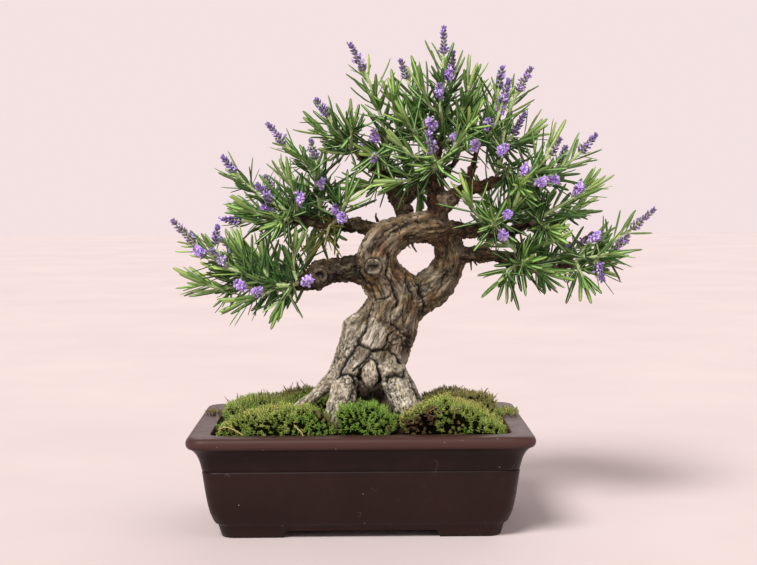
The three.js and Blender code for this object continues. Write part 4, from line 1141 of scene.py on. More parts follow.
def make_spurs():
    """Little dry twigs that stand off the branches, each a closed tube: points, quads and triangles"""
    rng = np.random.default_rng(41)
    points, quads, tris, count = [], [], [], 0
    paths = [(np.array(spot, float), 0.75) for spot in SPUR_SPOTS]
    for limb in WOOD:
        if limb.style not in ("branch", "arm") or len(limb.path) < 14:
            continue
        low, high = SPURS["from_radius"]
        for i in np.flatnonzero(rng.random(len(limb.path)) < SPURS["share"] * np.gradient(limb.reach)):
            if not low < limb.radius[i] < high:
                continue
            turn = rng.uniform(0, 2 * math.pi)
            out = math.cos(turn) * limb.normals[i] + math.sin(turn) * limb.binormals[i]
            lean = unit(out + rng.normal(0, 0.35, 3))
            start = limb.path[i] + out * (limb.radius[i] - 1.2)
            length = rng.uniform(*SPURS["length"]) + 1.2
            if wood((start + lean * length)[None])[0][0] < 0.3:
                continue
            bend = unit(lean + rng.normal(0, 0.3, 3))
            path = [start, start + lean * length * 0.5, start + lean * length * 0.6 + bend * length * 0.4]
            paths.append((np.array(path), rng.uniform(*SPURS["radius"])))
    for path, thick in paths:
        own, own_quads, own_tris = tube(path, [thick * 1.5, thick, thick * 0.5], 6)
        points.append(own)
        quads.append(own_quads + count)
        tris.append(own_tris + count)
        count += len(own)
    return np.vstack(points), np.vstack(quads), np.vstack(tris)


def blended_bark(points):
    """Bark where the limbs flow together: height, crack with its painted shade, number of the plate, pale,
    rust, darkness that is partly painted shade, and grain
    """
    _, _, shares, grains = wood(points)
    first = shares.argmax(axis=1)
    rest = shares.copy()
    rest[np.arange(len(points)), first] = 0
    second = rest.argmax(axis=1)
    height, crack_and_shade, chance, pale, rust, dark_and_shade = np.zeros((6, len(points)))
    grain = np.zeros((len(points), 3))
    for i, limb in enumerate(WOOD):
        for chosen, share in ((first, shares[:, i]), (second, rest[:, i])):
            which = np.flatnonzero((chosen == i) & (share > 0.03))
            if not len(which):
                continue
            own, cut, plate = bark(points[which], grains[which, i], limb)
            height[which] += share[which] * own
            crack_and_shade[which] += share[which] * cut
            chance[which] += share[which] * plate
        pale += shares[:, i] * limb.pale
        rust += shares[:, i] * limb.rust
        dark_and_shade += shares[:, i] * limb.dark_and_shade
        which = np.flatnonzero(first == i)
        grain[which] = (grains[which, i] + limb.shift) * (1, 1, BARK_STYLES[limb.style][-1])
    return height, crack_and_shade, chance, pale, rust, dark_and_shade, grain


def make_tree():
    """The tree's solid, remeshed, drawn to the finer limbs, and given its bark"""
    points, quads = remeshed("tree", VOXEL["fine"])
    for _ in range(3):
        distance, outward, _, _ = wood(points)
        step = np.clip(0.9 * distance, -2.5, 2.5) * ease(*IN_SOIL, points[:, 2])
        points = points - outward * step[:, None]
    points = relaxed(points, quads, 0.5, 2)
    normals = point_normals(points, quads)
    height, crack_and_shade, chance, pale, rust, dark_and_shade, grain = blended_bark(points)
    height += 0.8 * noise(points / 11, 71, 2) * ease(0, 12, points[:, 2].max() - points[:, 2])
    marked, front_cracks_and_shade, bleached, stained, knot = front_marks(points, normals)
    plain = 1 - np.maximum(0.7 * bleached, 0.85 * knot)
    height = height * plain + marked
    # Painted shade of the bark's cracks and of the front's cracks, knots and hollow
    crack_and_shade = np.maximum(crack_and_shade * plain, front_cracks_and_shade)
    pale = pale + 0.7 * (1 - pale) * ease(*BLEACHED_BELOW, points[:, 2])
    pale = np.maximum(pale + 0.25 * noise(points / 8, 77, 2) + 0.25 * (chance - 0.5), bleached)
    rust = np.maximum(rust + 0.2 * noise(points / 8, 79, 2), stained)
    points = points + normals * (height * (1 - 0.5 * ease(*IN_MOSS, points[:, 2])))[:, None]
    dark_and_shade = np.clip(dark_and_shade + 0.3 * noise(points / 10, 81, 2), 0, 1)
    dark_and_shade = dark_and_shade * (1 - 0.9 * ease(*BLEACHED_BELOW, points[:, 2]))
    values = {"crack_and_shade": crack_and_shade, "pale": pale, "rust": rust, "dark_and_shade": dark_and_shade}
    values = {key: np.clip(value, 0, 1) for key, value in values.items()}
    spurs, spur_quads, spur_tris = make_spurs()
    extra = len(spurs)
    values = {key: np.append(value, np.full(extra, SPUR_TONE[key])) for key, value in values.items()}
    values["grain"] = np.vstack([grain, spurs])
    faces = [(quads, 0), (spur_quads + len(points), 0), (spur_tris + len(points), 0)]
    dressed(mesh_object("bark", np.vstack([points, spurs]), faces, values, [BARK]), "tree")


make_tree()

# Needle leaf: across the blade and through it at each point of its section, then half widths along it
LEAF_SECTION = [(-1, -0.22), (-0.52, 0.16), (0, -0.02), (0.52, 0.16), (1, -0.22), (0, -0.24)]
LEAF_FACE = [0.5, 1, 1, 1, 0.5, 0]
LEAF_PROFILE = [(0, 0.4), (0.13, 0.72), (0.4, 1), (0.76, 0.93), (0.93, 0.68), (0.99, 0.28)]
SPIKE = {"whorl_pitch": 2.3, "calyces": 5}
BLOOM = {"radius": 4.2, "flowers": 11}
STEM_SIDES = 7
# Short leafy tufts in the axils: leaves of each, the part of the shoot that bears them, how many axils do
TUFT = {"leaves": 4, "until": 0.78, "share": 0.52, "spread": 0.4, "size": (0.32, 0.62)}
# How far a shoot's leaves open from its stem, their size and their age, from its foot to its end
OPENING = [(0, 1.2), (0.5, 0.88), (0.9, 0.55), (1, 0.45)]
SIZE = [(0, 0.8), (0.25, 1), (0.8, 0.97), (1, 0.85)]
SIZE_SPIKED = [*SIZE[:-1], (1, 0.6)]
AGE = [(0, 0.95), (0.4, 0.75), (0.85, 0.4), (1, 0.2)]
# The tuft at a shoot's end, alone or under a spike: its first leaves are long, the rest are its small middle
END_TUFT = {"leaves": 8, "opening": (0.16, 0.62), "size": (0.6, 0.9)}
END_TUFT_SPIKED = {"leaves": 4, "opening": (0.55, 0.95), "size": (0.3, 0.5)}
END_LONG = 6
DRY_SHOOTS = {("spray_left_mid_inner", 1)}
LEAF_REACH = 0.06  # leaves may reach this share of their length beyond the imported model's box
# Share of the leaves left out where they would hide wood this far behind them
BARED = 0.6
BARED_BEHIND = [0, 8, 0]
# Spikes and blooms that stay in sight from the front: how deep in the crown they may sit, and their radius
SPIKE_SIGHT = {"deepest": 34, "radius": 2.0}
BLOOM_SIGHT = {"deepest": 5, "radius": 3.4}
STEMS_WITH_SPIKE = [one for given in SPRAYS.values() for one in given["shoots"] if one["spike"]]
BLOOMS = [at for given in SPRAYS.values() for at in given["blooms"]]
FLOWERS = [
    (one["through"][-1], one["spike"], SPIKE_SIGHT["radius"])
    for one in STEMS_WITH_SPIKE
    if one["spike"][1] < SPIKE_SIGHT["deepest"]
]
FLOWERS += [(at, at, BLOOM_SIGHT["radius"]) for at in BLOOMS if at[1] < BLOOM_SIGHT["deepest"]]


def blade(section, profile, bulge=1.0):
    """A closed blade along z from 0 to 1: points, quads and triangles"""
    rows = [[(x * w, y * w * bulge, z) for x, y in section] for z, w in profile]
    points = np.vstack([np.array(rows).reshape(-1, 3), [[0, 0, profile[0][0]], [0, -0.05, 1]]])
    return points, *tube_faces(len(profile), len(section))


NEEDLE = blade(LEAF_SECTION, LEAF_PROFILE)
LEAF_ACROSS = np.append(np.tile([x for x, _ in LEAF_SECTION], len(LEAF_PROFILE)), [0, 0])
LEAF_UPPER = np.append(np.tile(LEAF_FACE, len(LEAF_PROFILE)), [0.5, 0.8])
PETAL_SECTION = [(-1, 0), (0, 0.3), (1, 0), (0, -0.2)]
PETAL_PROFILE = [(0, 0.25), (0.35, 0.75), (0.7, 1), (0.93, 0.65)]
PETAL = blade(PETAL_SECTION, PETAL_PROFILE, 0.8)
BUD_SECTION = [(math.cos(i * math.pi / 2.5), math.sin(i * math.pi / 2.5)) for i in range(5)]
BUD_PROFILE = [(0, 0.35), (0.3, 0.9), (0.7, 0.95), (0.95, 0.42)]
BUD = blade(BUD_SECTION, BUD_PROFILE)
BOX_LOW, BOX_HIGH = (millimetres(corner) for corner in cad_bounds)


def add_blades(body, shape, roots, directions, faces_up, lengths, widths, bends, slot, **values):
    """Copies of a blade that grow from roots along directions, with their upper side towards faces_up"""
    template, quads, tris = shape
    normals = unit(faces_up - directions * np.sum(faces_up * directions, axis=1, keepdims=True))
    sides = np.cross(directions, normals)
    x, y, z = (template[None, :, k, None] for k in range(3))
    long, half, bend = (v[:, None, None] for v in (lengths, widths / 2, bends))
    points = roots[:, None] + z * long * directions[:, None] + x * half * sides[:, None]
    points = points + (y * half + bend * long * z**2) * normals[:, None]
    body.add(points, quads, tris, slot, reach=template[None, :, 2], **values)


def leaf_tips_fit(tips):
    """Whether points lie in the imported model's box, or just outside it"""
    reach = LEAF_REACH * LEAF["length"]
    return np.all((tips > BOX_LOW - reach) & (tips < BOX_HIGH + reach), axis=1)


def beside_flowers(points):
    """Whether points hide none of the spikes and blooms from the front"""
    free = np.ones(len(points), bool)
    at = np.column_stack(seen_from_front(points))
    for *ends, radius in FLOWERS:
        ends = np.array(ends, float)
        (x0, x1), (z0, z1) = seen_from_front(ends)
        away, _ = line_distance(at[:, 0], at[:, 1], [(x0, z0), (x1 + 0.01, z1)])
        free &= (away > radius) | (points[:, 1] > ends[0, 1] + 2)
    return free


def frames_at(path, at):
    """Tangents and crosswise directions of a path at distances along it"""
    s = travelled(path)
    return [np.stack([np.interp(at, s, v[:, k]) for k in range(3)], axis=1) for v in frames_along(path)]


def shoot_leaves(path, rng, spiked):
    """One shoot's leaves, a row each: distance along, turn, opening from the stem, size, age"""
    length = travelled(path)[-1]
    at = np.arange(LEAF["first"], length - 1, LEAF["pair_pitch"])
    share = at / length
    pairs = len(at)
    turn = np.arange(pairs) * math.pi / 2 + rng.uniform(0, 6)
    rows = []
    for half in (0, math.pi):
        opening = curve(share, OPENING) + rng.normal(0, 0.14, pairs)
        size = curve(share, SIZE_SPIKED if spiked else SIZE) * rng.uniform(0.82, 1.08, pairs)
        age = curve(share, AGE)
        rows.append(np.column_stack([at, turn + half + rng.normal(0, 0.2, pairs), opening, size, age]))
        side = np.flatnonzero((share < TUFT["until"]) & (rng.random(pairs) < TUFT["share"]))
        side = np.repeat(side, TUFT["leaves"])
        k = len(side)
        spread = rng.normal(0, TUFT["spread"], (k, 2))
        rows.append(
            np.column_stack([
                at[side] + rng.uniform(0, 1.2, k),
                turn[side] + half + spread[:, 0] / np.sin(np.clip(opening[side], 0.5, 1.5)),
                np.abs(opening[side] * 0.85 + spread[:, 1]),
                rng.uniform(*TUFT["size"], k),
                np.clip(age[side] + 0.12, 0, 1),
            ])
        )
    tuft = END_TUFT_SPIKED if spiked else END_TUFT
    count = tuft["leaves"]
    long = np.arange(count) < END_LONG
    rows.append(
        np.column_stack([
            length - rng.uniform(0.2, 3.2, count) * long,
            np.arange(count) * 2.4 + rng.uniform(0, 6),
            np.where(long, rng.uniform(*tuft["opening"], count), 0.1),
            np.where(long, rng.uniform(*tuft["size"], count), rng.uniform(0.25, 0.4, count)),
            np.where(long, 0.12, 0.0),
        ])
    )
    return np.vstack(rows)


def add_leaves(body, path, rng, spiked, dry):
    """The leaves of one shoot, without those that meet wood or hide what the front shows"""
    at, turn, opening, size, age = shoot_leaves(path, rng, spiked).T
    tangents, normals, binormals = frames_at(path, at)
    outward = np.cos(turn)[:, None] * normals + np.sin(turn)[:, None] * binormals
    directions = unit(np.cos(opening)[:, None] * tangents + np.sin(opening)[:, None] * outward)
    directions = unit(directions + rng.normal(0, 0.05, directions.shape))
    roots = along(path, at) + outward * 0.6

    def reached(part):
        return roots + directions * (LEAF["length"] * size * part)[:, None]

    for _ in range(3):
        size = np.where(leaf_tips_fit(reached(1)), size, size * 0.8)
    keep = leaf_tips_fit(reached(1))
    for part, clear in ((0.4, 0.3), (0.7, 0.8), (1.0, 1.2)):
        keep &= wood(reached(part))[0] > clear
    for part in (0.35, 0.6, 0.85, 1.0):
        keep &= beside_flowers(reached(part))
    luck = rng.random(len(keep))
    for part in (0.5, 0.95):
        keep &= (wood(reached(part) + BARED_BEHIND)[0] > -1) | (luck > BARED)
    if dry:
        keep &= rng.random(len(keep)) < 0.7
    count = keep.sum()
    width = LEAF["width"] * (0.75 if dry else 1)
    age = age + 0.4 * (1 - age) * ease(0.1, -0.5, directions[:, 2])
    add_blades(
        body,
        NEEDLE,
        roots[keep],
        directions[keep],
        unit(tangents + [0, 0, 0.15])[keep],
        (LEAF["length"] * size)[keep],
        width * rng.uniform(0.85, 1.08, count) * curve(size[keep], [(0.3, 0.68), (0.7, 1)]),
        rng.normal(0.03, 0.08, count),
        0,
        across=LEAF_ACROSS[None],
        face=LEAF_UPPER[None],
        age=np.clip(age + rng.normal(0, 0.12, len(age)), 0, 1)[keep][:, None],
        dry=np.full((count, 1), float(dry)),
        chance=rng.random((count, 1)),
    )


def add_spike(body, start, tip, rng):
    """A flower spike: a slim core with whorls of pointed calyces, and a few open flowers"""
    length = np.linalg.norm(tip - start)
    axis = (tip - start) / length
    grey = rng.uniform(0, 0.75)
    core = start + axis * np.linspace(0, 0.94, 5)[:, None] * length
    body.add(*tube(core, [0.85, 0.8, 0.7, 0.55, 0.35], 6), 1)
    whorls = np.arange(1.4, length - 1.6, SPIKE["whorl_pitch"])
    share = whorls / length
    each = SPIKE["calyces"]
    k = each * len(whorls)
    at = np.repeat(whorls, each) + rng.uniform(-0.35, 0.35, k)
    turn = np.tile(np.arange(each) * 2 * math.pi / each, len(whorls))
    turn = turn + np.repeat(rng.uniform(0, 6, len(whorls)), each)
    side, _ = crosswise(np.repeat(axis[None], k, 0), turn)
    spread = np.repeat(curve(share, [(0, 0.95), (1, 0.5)]), each) + rng.normal(0, 0.13, k)
    directions = np.cos(spread)[:, None] * axis + np.sin(spread)[:, None] * side
    size = np.repeat(curve(share, [(0, 1), (0.6, 0.9), (1, 0.62)]), each) * rng.uniform(0.8, 1.15, k)
    chance = np.clip(grey + rng.normal(0, 0.18, (k, 1)), 0, 1)
    roots = start + at[:, None] * axis + side * 0.4
    add_blades(body, BUD, roots, directions, side, 3.7 * size, 1.45 * size, np.zeros(k), 2, chance=chance)
    lean = np.array([0.0, 0.35, 0.4, 0.5, 0.55])[:, None]
    top = len(lean)
    crown, _ = crosswise(np.repeat(axis[None], top, 0), np.arange(top) * 2.4)
    roots = tip - axis * (3.6 + 1.2 * lean)
    rising = unit(axis + lean * crown)
    long = np.full(top, 3.5)
    shade = np.full((top, 1), grey * 0.6)
    add_blades(body, BUD, roots, rising, crown, long, long * 0.42, np.zeros(top), 2, chance=shade)
    for i in np.flatnonzero(rng.random(k) < curve(at / length, [(0, 0.3), (0.5, 0.1), (1, 0.0)])):
        mouth = start + at[i] * axis + directions[i] * 3.6 * size[i]
        add_petals(body, mouth, directions[i], 2.0, rng, 3)


def add_petals(body, mouth, direction, length, rng, count):
    """The petals of one open flower, round its direction"""
    axes = np.repeat(direction[None], count, 0)
    side, _ = crosswise(axes, np.arange(count) * 2 * math.pi / count + rng.uniform(0, 6))
    open_by = rng.uniform(0.6, 1.15, count)
    directions = np.cos(open_by)[:, None] * direction + np.sin(open_by)[:, None] * side
    lengths = length * rng.uniform(0.8, 1.2, count)
    add_blades(
        body,
        PETAL,
        mouth + side * 0.15,
        directions,
        axes,
        lengths,
        lengths * 0.85,
        rng.normal(-0.1, 0.12, count),
        3,
        chance=rng.random((count, 1)),
    )


def add_bloom(body, given, paths, rng):
    """A cluster of open flowers on the nearest stem of its spray, longer along the stem than across"""
    given = np.array(given, float)
    stems = [along(path, np.linspace(0, travelled(path)[-1], 25)) for path in paths]
    ways = np.vstack([unit(np.gradient(stem, axis=0)) for stem in stems])
    stems = np.vstack(stems)
    away = np.linalg.norm(stems - given, axis=1)
    nearest, way, away = stems[away.argmin()], ways[away.argmin()], away.min()
    seated = away < BLOOM["radius"] * 2
    centre = nearest + (given - nearest) * min(1, BLOOM["radius"] * 0.8 / away) if seated else given
    if away > 0.5:
        body.add(*tube(np.linspace(nearest, centre, 4), [0.45, 0.42, 0.4, 0.35], 6), 1, woody=[[0.35]])
    count = BLOOM["flowers"]
    height = 1 - 2 * (np.arange(count) + 0.5) / count
    turn = np.arange(count) * 2.4 + rng.uniform(0, 6)
    flat = np.sqrt(1 - height**2)
    directions = unit(np.column_stack([flat * np.cos(turn), flat * np.sin(turn), height + 0.2]))
    directions = unit(directions + rng.normal(0, 0.25, directions.shape))
    lengths = rng.uniform(1.4, 2.6, count)
    roots = centre + rng.uniform(-2.8, 2.8, (count, 1)) * way
    add_blades(
        body,
        BUD,
        roots - directions * 0.4,
        directions,
        np.roll(directions, 1, axis=1),
        lengths,
        np.full(count, 1.25),
        np.zeros(count),
        2,
        chance=rng.random((count, 1)) * 0.6,
    )
    for root, direction, length in zip(roots, directions, lengths):
        add_petals(body, root + direction * (length - 0.9), direction, rng.uniform(2.4, 3.2), rng, 5)


def make_sprays():
    spikes = 0
    for number, (name, given) in enumerate(SPRAYS.items()):
        body = Body()
        paths = [smooth_path(shoot["through"], 10) for shoot in given["shoots"]]
        for i, (shoot, path) in enumerate(zip(given["shoots"], paths)):
            rng = np.random.default_rng([number, i])
            m = len(path)
            thick = STEM["base"] if i == 0 else STEM["base"] * 0.72
            radii = np.linspace(thick, STEM["tip"], m) * (1 + 0.06 * np.sin(np.arange(m) * 1.9))
            woody = np.clip(1 - travelled(path) / 14, 0, 1) * (i == 0)
            woody = np.maximum(woody, 0.7 * ((name, i) in DRY_SHOOTS))
            points, quads, tris = tube(path, radii, STEM_SIDES)
            woody = np.append(np.repeat(woody, STEM_SIDES), [woody[0], 0])
            body.add(points, quads, tris, 1, woody=woody[None])
            add_leaves(body, path, rng, shoot["spike"] is not None, (name, i) in DRY_SHOOTS)
            if shoot["spike"] is None:
                continue
            tip = np.array(shoot["spike"], float)
            rise = unit(tip - path[-1])
            if shoot["fused"]:
                add_spike(body, path[-1] - rise, tip, rng)
                continue
            spikes += 1
            own = Body()
            add_spike(own, path[-1] - rise * 0.3, tip, rng)
            node = f"flower_spike_{spikes:02d}"
            dressed(own.build(f"spike_{spikes:02d}", FOLIAGE), node)
        for i, at in enumerate(given["blooms"]):
            add_bloom(body, at, paths, np.random.default_rng([number, 50 + i]))
        dressed(body.build(name.replace("spray", "shoots"), FOLIAGE), name)


make_sprays()

# Moss on the soil: its shoots' spacing, height, spread and leaflets, how deep they stand, and its lumps
MOSS = {"spacing": 2.1, "height": 4.4, "spread": 2.3, "leaflets": 10, "sunk": 2.7, "lumps": 1.5}
# Where it is yellow, brown or bare: middle, half sizes, how much. Bare places show the near-black cushion, a
# sheet of painted shade
MOSS_YELLOW = [
    ((66, -34), (26, 13), 1.0),
    ((-60, -42), (27, 8), 0.9),
    ((-38, -30), (14, 10), 0.9),
    ((-70, 28), (28, 9), 0.8),
    ((44, -30), (14, 12), 1.0),
    ((30, -44), (8, 8), 1.0),
    ((-56, -44), (44, 24), 0.45),
    ((60, -42), (40, 28), 0.4),
    ((68, 32), (44, 50), 0.75),
    ((-58, 26), (46, 48), 0.3),
]
MOSS_BROWN = [
    ((34, -63), (16, 12), 1.0),
    ((56, -68), (17, 7), 1.0),
    ((68, 32), (44, 50), 0.6),
    ((-44, 27), (9, 12), 0.9),
    ((-24, -50), (6, 8), 0.9),
    ((-98, 30), (12, 24), 0.9),
    ((-58, 26), (46, 48), 0.22),
]
MOSS_BARE = [((-27, -23), (8, 20), 1.0), ((33, -63), (15, 8), 0.45), ((55, -68), (16, 6), 0.45)]
# Shoots that creep over the rim: middle, half sizes, how many, and how high they root
RIM_TOP = 65.3
MOSS_SPILL = {"moss_back_right": ((97.5, 18), (7, 16), 70), "moss_back_left": ((-96.5, 27), (7, 9), 40)}
# Dry stalks in the moss: middle, half sizes, how many, longest, how flat they lie
STALKS = [
    ((-66, 28), (30, 12), 16, 8, 0.25),
    ((-42, 27), (9, 8), 8, 9, 0.35),
    ((78, 34), (26, 18), 14, 7, 0.4),
    ((40, -60), (19, 7), 26, 9, 1.5),
    ((-60, -50), (30, 14), 10, 6, 1.3),
]
STALK_RADII = (0.34, 0.16)


def moss_star(rng):
    """One moss shoot, 1 high and 1 in spread: a thin stem with curved pointed leaflets, all closed"""
    ring = [(math.cos(a) * 0.07, math.sin(a) * 0.07) for a in (0, 2.1, 4.2)]
    points = [(*xy, 0) for xy in ring] + [(*xy, 0.85) for xy in ring]
    quads = [(i, (i + 1) % 3, (i + 1) % 3 + 3, i + 3) for i in range(3)]
    tris = [(2, 1, 0), (3, 4, 5)]
    tips = [0.0] * 3 + [0.5] * 3
    for i in range(MOSS["leaflets"]):
        share = i / (MOSS["leaflets"] - 1)
        level = 0.34 + 0.5 * share
        turn = i * 2.4 + rng.uniform(-0.3, 0.3)
        reach = (1.0 - 0.55 * share) * rng.uniform(0.8, 1.15)
        rise = 0.1 + 0.16 * share + rng.uniform(-0.04, 0.06)
        curl = rng.uniform(-0.12, 0.1) + 0.14 * share
        out, side = np.array([math.cos(turn), math.sin(turn)]), np.array([-math.sin(turn), math.cos(turn)])
        a = len(points)
        points += [(*(side * 0.13), level), (*(-side * 0.13), level), (*(out * 0.5 * reach), level + rise)]
        points.append((*(out * reach + side * rng.uniform(-0.15, 0.15)), level + rise + curl))
        tris += [(a, a + 1, a + 3), (a + 1, a + 2, a + 3), (a + 2, a, a + 3), (a + 1, a, a + 2)]
        tips += [0.35, 0.35, 0.75, 1.0]
    return np.array(points), np.array(quads), np.array(tris), np.array(tips)


def add_stalks(body, points, normals, rng):
    """Thin dry stalks that stand or lie in the moss"""
    for (x, y), (half_x, half_y), count, longest, flat in STALKS:
        near = np.hypot((points[:, 0] - x) / half_x, (points[:, 1] - y) / half_y) < 1
        near = np.flatnonzero(near & (normals[:, 2] > 0.3))
        for i in rng.choice(near, min(count, len(near)), replace=False):
            length = longest * rng.uniform(0.55, 1.0)
            lean = unit(normals[i] + rng.normal(0, flat, 3) * (1, 1, 0.3))
            bend = unit(lean + rng.normal(0, 0.45, 3))
            foot = points[i] + normals[i] * (MOSS["sunk"] * 0.5)
            path = [foot, foot + lean * length * 0.4, foot + lean * length * 0.5 + bend * length * 0.5]
            path = smooth_path(path, 3)
            tone = rng.uniform(0.35, 1.0)
            own = {"tip": [[tone]], "yellow": [[0.0]], "brown": [[1.0]], "chance": [[rng.random()]]}
            body.add(*tube(path, np.linspace(*STALK_RADII, len(path)), 4), 0, **own)


def patch_share(p, patches):
    """How much the patches take of the moss at points"""
    share = np.zeros(len(p))
    wander = 0.35 * noise(p / 6, 83, 2)
    for (x, y), (half_x, half_y), most in patches:
        d = np.hypot((p[:, 0] - x) / half_x, (p[:, 1] - y) / half_y)
        share = np.maximum(share, most * (1 - ease(0.55, 1.15, d + wander)))
    return share


def scattered(points, quads, rng, spacing, tries=5):
    """Places on a mesh's upward faces that keep a distance from each other, with the surface normals"""
    a, b, c, d = (points[quads[:, k]] for k in range(4))
    face_normals = np.cross(c - a, d - b)
    area = np.linalg.norm(face_normals, axis=1) / 2
    face_normals = unit(face_normals)
    area = area * (face_normals[:, 2] > -0.05)
    wanted = int(area.sum() / spacing**2 * tries)
    chosen = rng.choice(len(quads), wanted, p=area / area.sum())
    u, v = rng.random((2, wanted, 1))
    spots = a[chosen] + u * (b[chosen] - a[chosen]) + v * (c[chosen] - b[chosen])
    taken, kept = {}, []
    for i, spot in enumerate(spots):
        x, y, z = (spot // spacing).astype(int)
        around = [taken.get((x + right, y + back, z + up), ()) for right, back, up in AROUND]
        if any(np.sum((spots[j] - spot) ** 2) < spacing**2 for near in around for j in near):
            continue
        taken.setdefault((x, y, z), []).append(i)
        kept.append(i)
    return spots[kept], face_normals[chosen[kept]]


def crept_over(name, rng):
    """Places on the rim that a cushion's shoots creep over, with the way that they lean"""
    (x, y), (half_x, half_y), count = MOSS_SPILL[name]
    turn, far = rng.uniform(0, 2 * math.pi, count), np.sqrt(rng.random(count))
    x_at, y_at = x + half_x * far * np.cos(turn), y + half_y * far * np.sin(turn)
    outward = unit(np.array([math.copysign(0.6, x), 0, 1]))
    return np.column_stack([x_at, y_at, np.full(count, RIM_TOP)]), np.tile(outward, (count, 1))


def make_moss():
    stars = [moss_star(np.random.default_rng(900 + i)) for i in range(4)]
    names = sorted(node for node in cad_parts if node.startswith("moss_"))
    for number, name in enumerate(names):
        rng = np.random.default_rng([77, number])
        points, quads = remeshed(name, 1.7)
        points = relaxed(points, quads, 0.5, 6)
        normals = point_normals(points, quads)
        lumps = noise(points / 6, 85, 2) * ease(-0.2, 0.5, normals[:, 2])
        points = points + normals * (MOSS["lumps"] * lumps - MOSS["sunk"])[:, None]
        body = Body()
        yellow, brown = patch_share(points, MOSS_YELLOW), patch_share(points, MOSS_BROWN)
        flat = np.zeros(len(points))
        # The sunken cushion under the shoots takes the near-black low end of the moss colours: a sheet of
        # painted shade
        body.add(points, quads, (), 0, tip=flat, yellow=yellow[None], brown=brown[None], chance=flat + 0.5)
        spots, outward = scattered(points, quads, rng, MOSS["spacing"])
        if name in MOSS_SPILL:
            over, lean = crept_over(name, rng)
            spots, outward = np.vstack([spots, over]), np.vstack([outward, lean])
        axes = unit(0.6 * outward + [0, 0, 0.6] + rng.normal(0, 0.2, outward.shape))
        yellow, brown = patch_share(spots, MOSS_YELLOW), patch_share(spots, MOSS_BROWN)
        kind = rng.integers(0, len(stars), len(spots))
        clear = (wood(spots)[0] > 0.5) & (rng.random(len(spots)) > patch_share(spots, MOSS_BARE))
        for i, (shape, faces, corners, tips) in enumerate(stars):
            which = np.flatnonzero((kind == i) & clear)
            k = len(which)
            heights = MOSS["height"] * rng.uniform(0.7, 1.15, k) * (1 - 0.25 * brown[which])
            spreads = MOSS["spread"] * rng.uniform(0.75, 1.15, k) * (1 - 0.2 * brown[which])
            feet = spots[which] - axes[which] * 0.5
            placed = copies(shape, feet, axes[which], heights, spreads, rng.uniform(0, 6, k))
            own = {"tip": tips[None], "chance": rng.random((k, 1))}
            own |= {"yellow": yellow[which][:, None], "brown": brown[which][:, None]}
            body.add(placed, faces, corners, 0, **own)
        add_stalks(body, points, normals, rng)
        dressed(body.build(name.replace("moss", "cushion"), [MOSS_LOOK]), name)


make_moss()

# The pot's profile from the floor's underside, out over the rim and down to the floor inside, with more
# stations where it turns: (inset from the widest outline, height)
POT_PROFILE = [
    (29, 8), (28.6, 4.2), (28, 0.5), (27.4, 0), (21.1, 0), (20.5, 0.4), (19.4, 4), (18.4, 7.4), (17.9, 8.1),
    (16.6, 9.2), (15.9, 10.2), (14.9, 12.6), (13.6, 16), (12.4, 21), (11.35, 27), (10.5, 33), (9.75, 38.5),
    (9.25, 42.2), (9.35, 42.5), (9.6, 42.75), (9.7, 43), (9.6, 43.25), (9.2, 43.5), (8.65, 46.2), (8, 48.8),
    (7.2, 51.1), (6.2, 53.3), (5, 55.1), (3.7, 56.5), (2.4, 57.4), (1.4, 57.9), (0.8, 58.6), (0.35, 59.6),
    (0.15, 61), (0.3, 62.3), (0.8, 63.5), (1.6, 64.4), (2.6, 64.85), (4, 65.03), (13.4, 65), (14.1, 64.8),
    (14.4, 64.2), (14.5, 62.5), (14.1, 58), (13.6, 52), (13, 44), (15.3, 28), (17.6, 16), (18.6, 13),
    (19.8, 11.8), (21.4, 11.5),
]
FLOOR = {"low": 8.0, "high": 11.5}
FLOOR_RINGS = (0.3, 0.6, 0.85)  # sizes of the rings that fill the floor, as shares of its edge
DRAIN = {"x": 45, "radius": 9, "heights": (-4, 4, 12, 24)}
UNDERSIDE = 18.3  # inset beyond which the profile is under the pot, where the walls rise between the feet


def rectangle(inset, sides=(9, 7), corner=8):
    """A rounded rectangle drawn in by an inset, counter-clockwise, with points kept at the feet's edges"""
    radius = POT["corner"] - inset * 0.12
    half_x, half_y = POT["width"] / 2 - inset - radius, POT["depth"] / 2 - inset - radius

    def run(half, foot, count):
        inner = [0, foot * 0.33, foot * 0.67, foot - 0.6, foot, foot + 3, foot + 3.8]
        outer = np.linspace(inner[-1], half, count + 1)[1:]
        steps = np.concatenate([inner, outer])
        return np.concatenate([-steps[:0:-1], steps])

    along_x, along_y = run(half_x, FOOT["half_gap_x"], sides[0]), run(half_y, FOOT["half_gap_y"], sides[1])
    turns = np.linspace(0, math.pi / 2, corner + 2)[1:-1]
    rows = []
    for quarter in range(4):
        spots, across = (along_x, half_y) if quarter % 2 == 0 else (along_y, half_x)
        side = np.column_stack([spots, np.full(len(spots), -across - radius)])
        middle = np.array([spots[-1], -across])
        bend = middle + radius * np.column_stack([np.sin(turns), -np.cos(turns)])
        block = np.vstack([side, bend])
        turn = quarter * math.pi / 2
        spin = np.array([[math.cos(turn), math.sin(turn)], [-math.sin(turn), math.cos(turn)]])
        rows.append(block @ spin)
    return np.vstack(rows)


def foot_lift(x, y, z):
    """Height of the underside between the feet, at points of the base ring"""
    gap_x = 1 - ease(FOOT["half_gap_x"], FOOT["half_gap_x"] + FOOT["slant"], np.abs(x))
    gap_y = 1 - ease(FOOT["half_gap_y"], FOOT["half_gap_y"] + FOOT["slant"], np.abs(y))
    front = (np.abs(y) > POT["depth"] / 2 - 32) * gap_x
    side = (np.abs(x) > POT["width"] / 2 - 32) * gap_y
    return np.maximum(z, np.maximum(front, side) * FOOT["lift"])


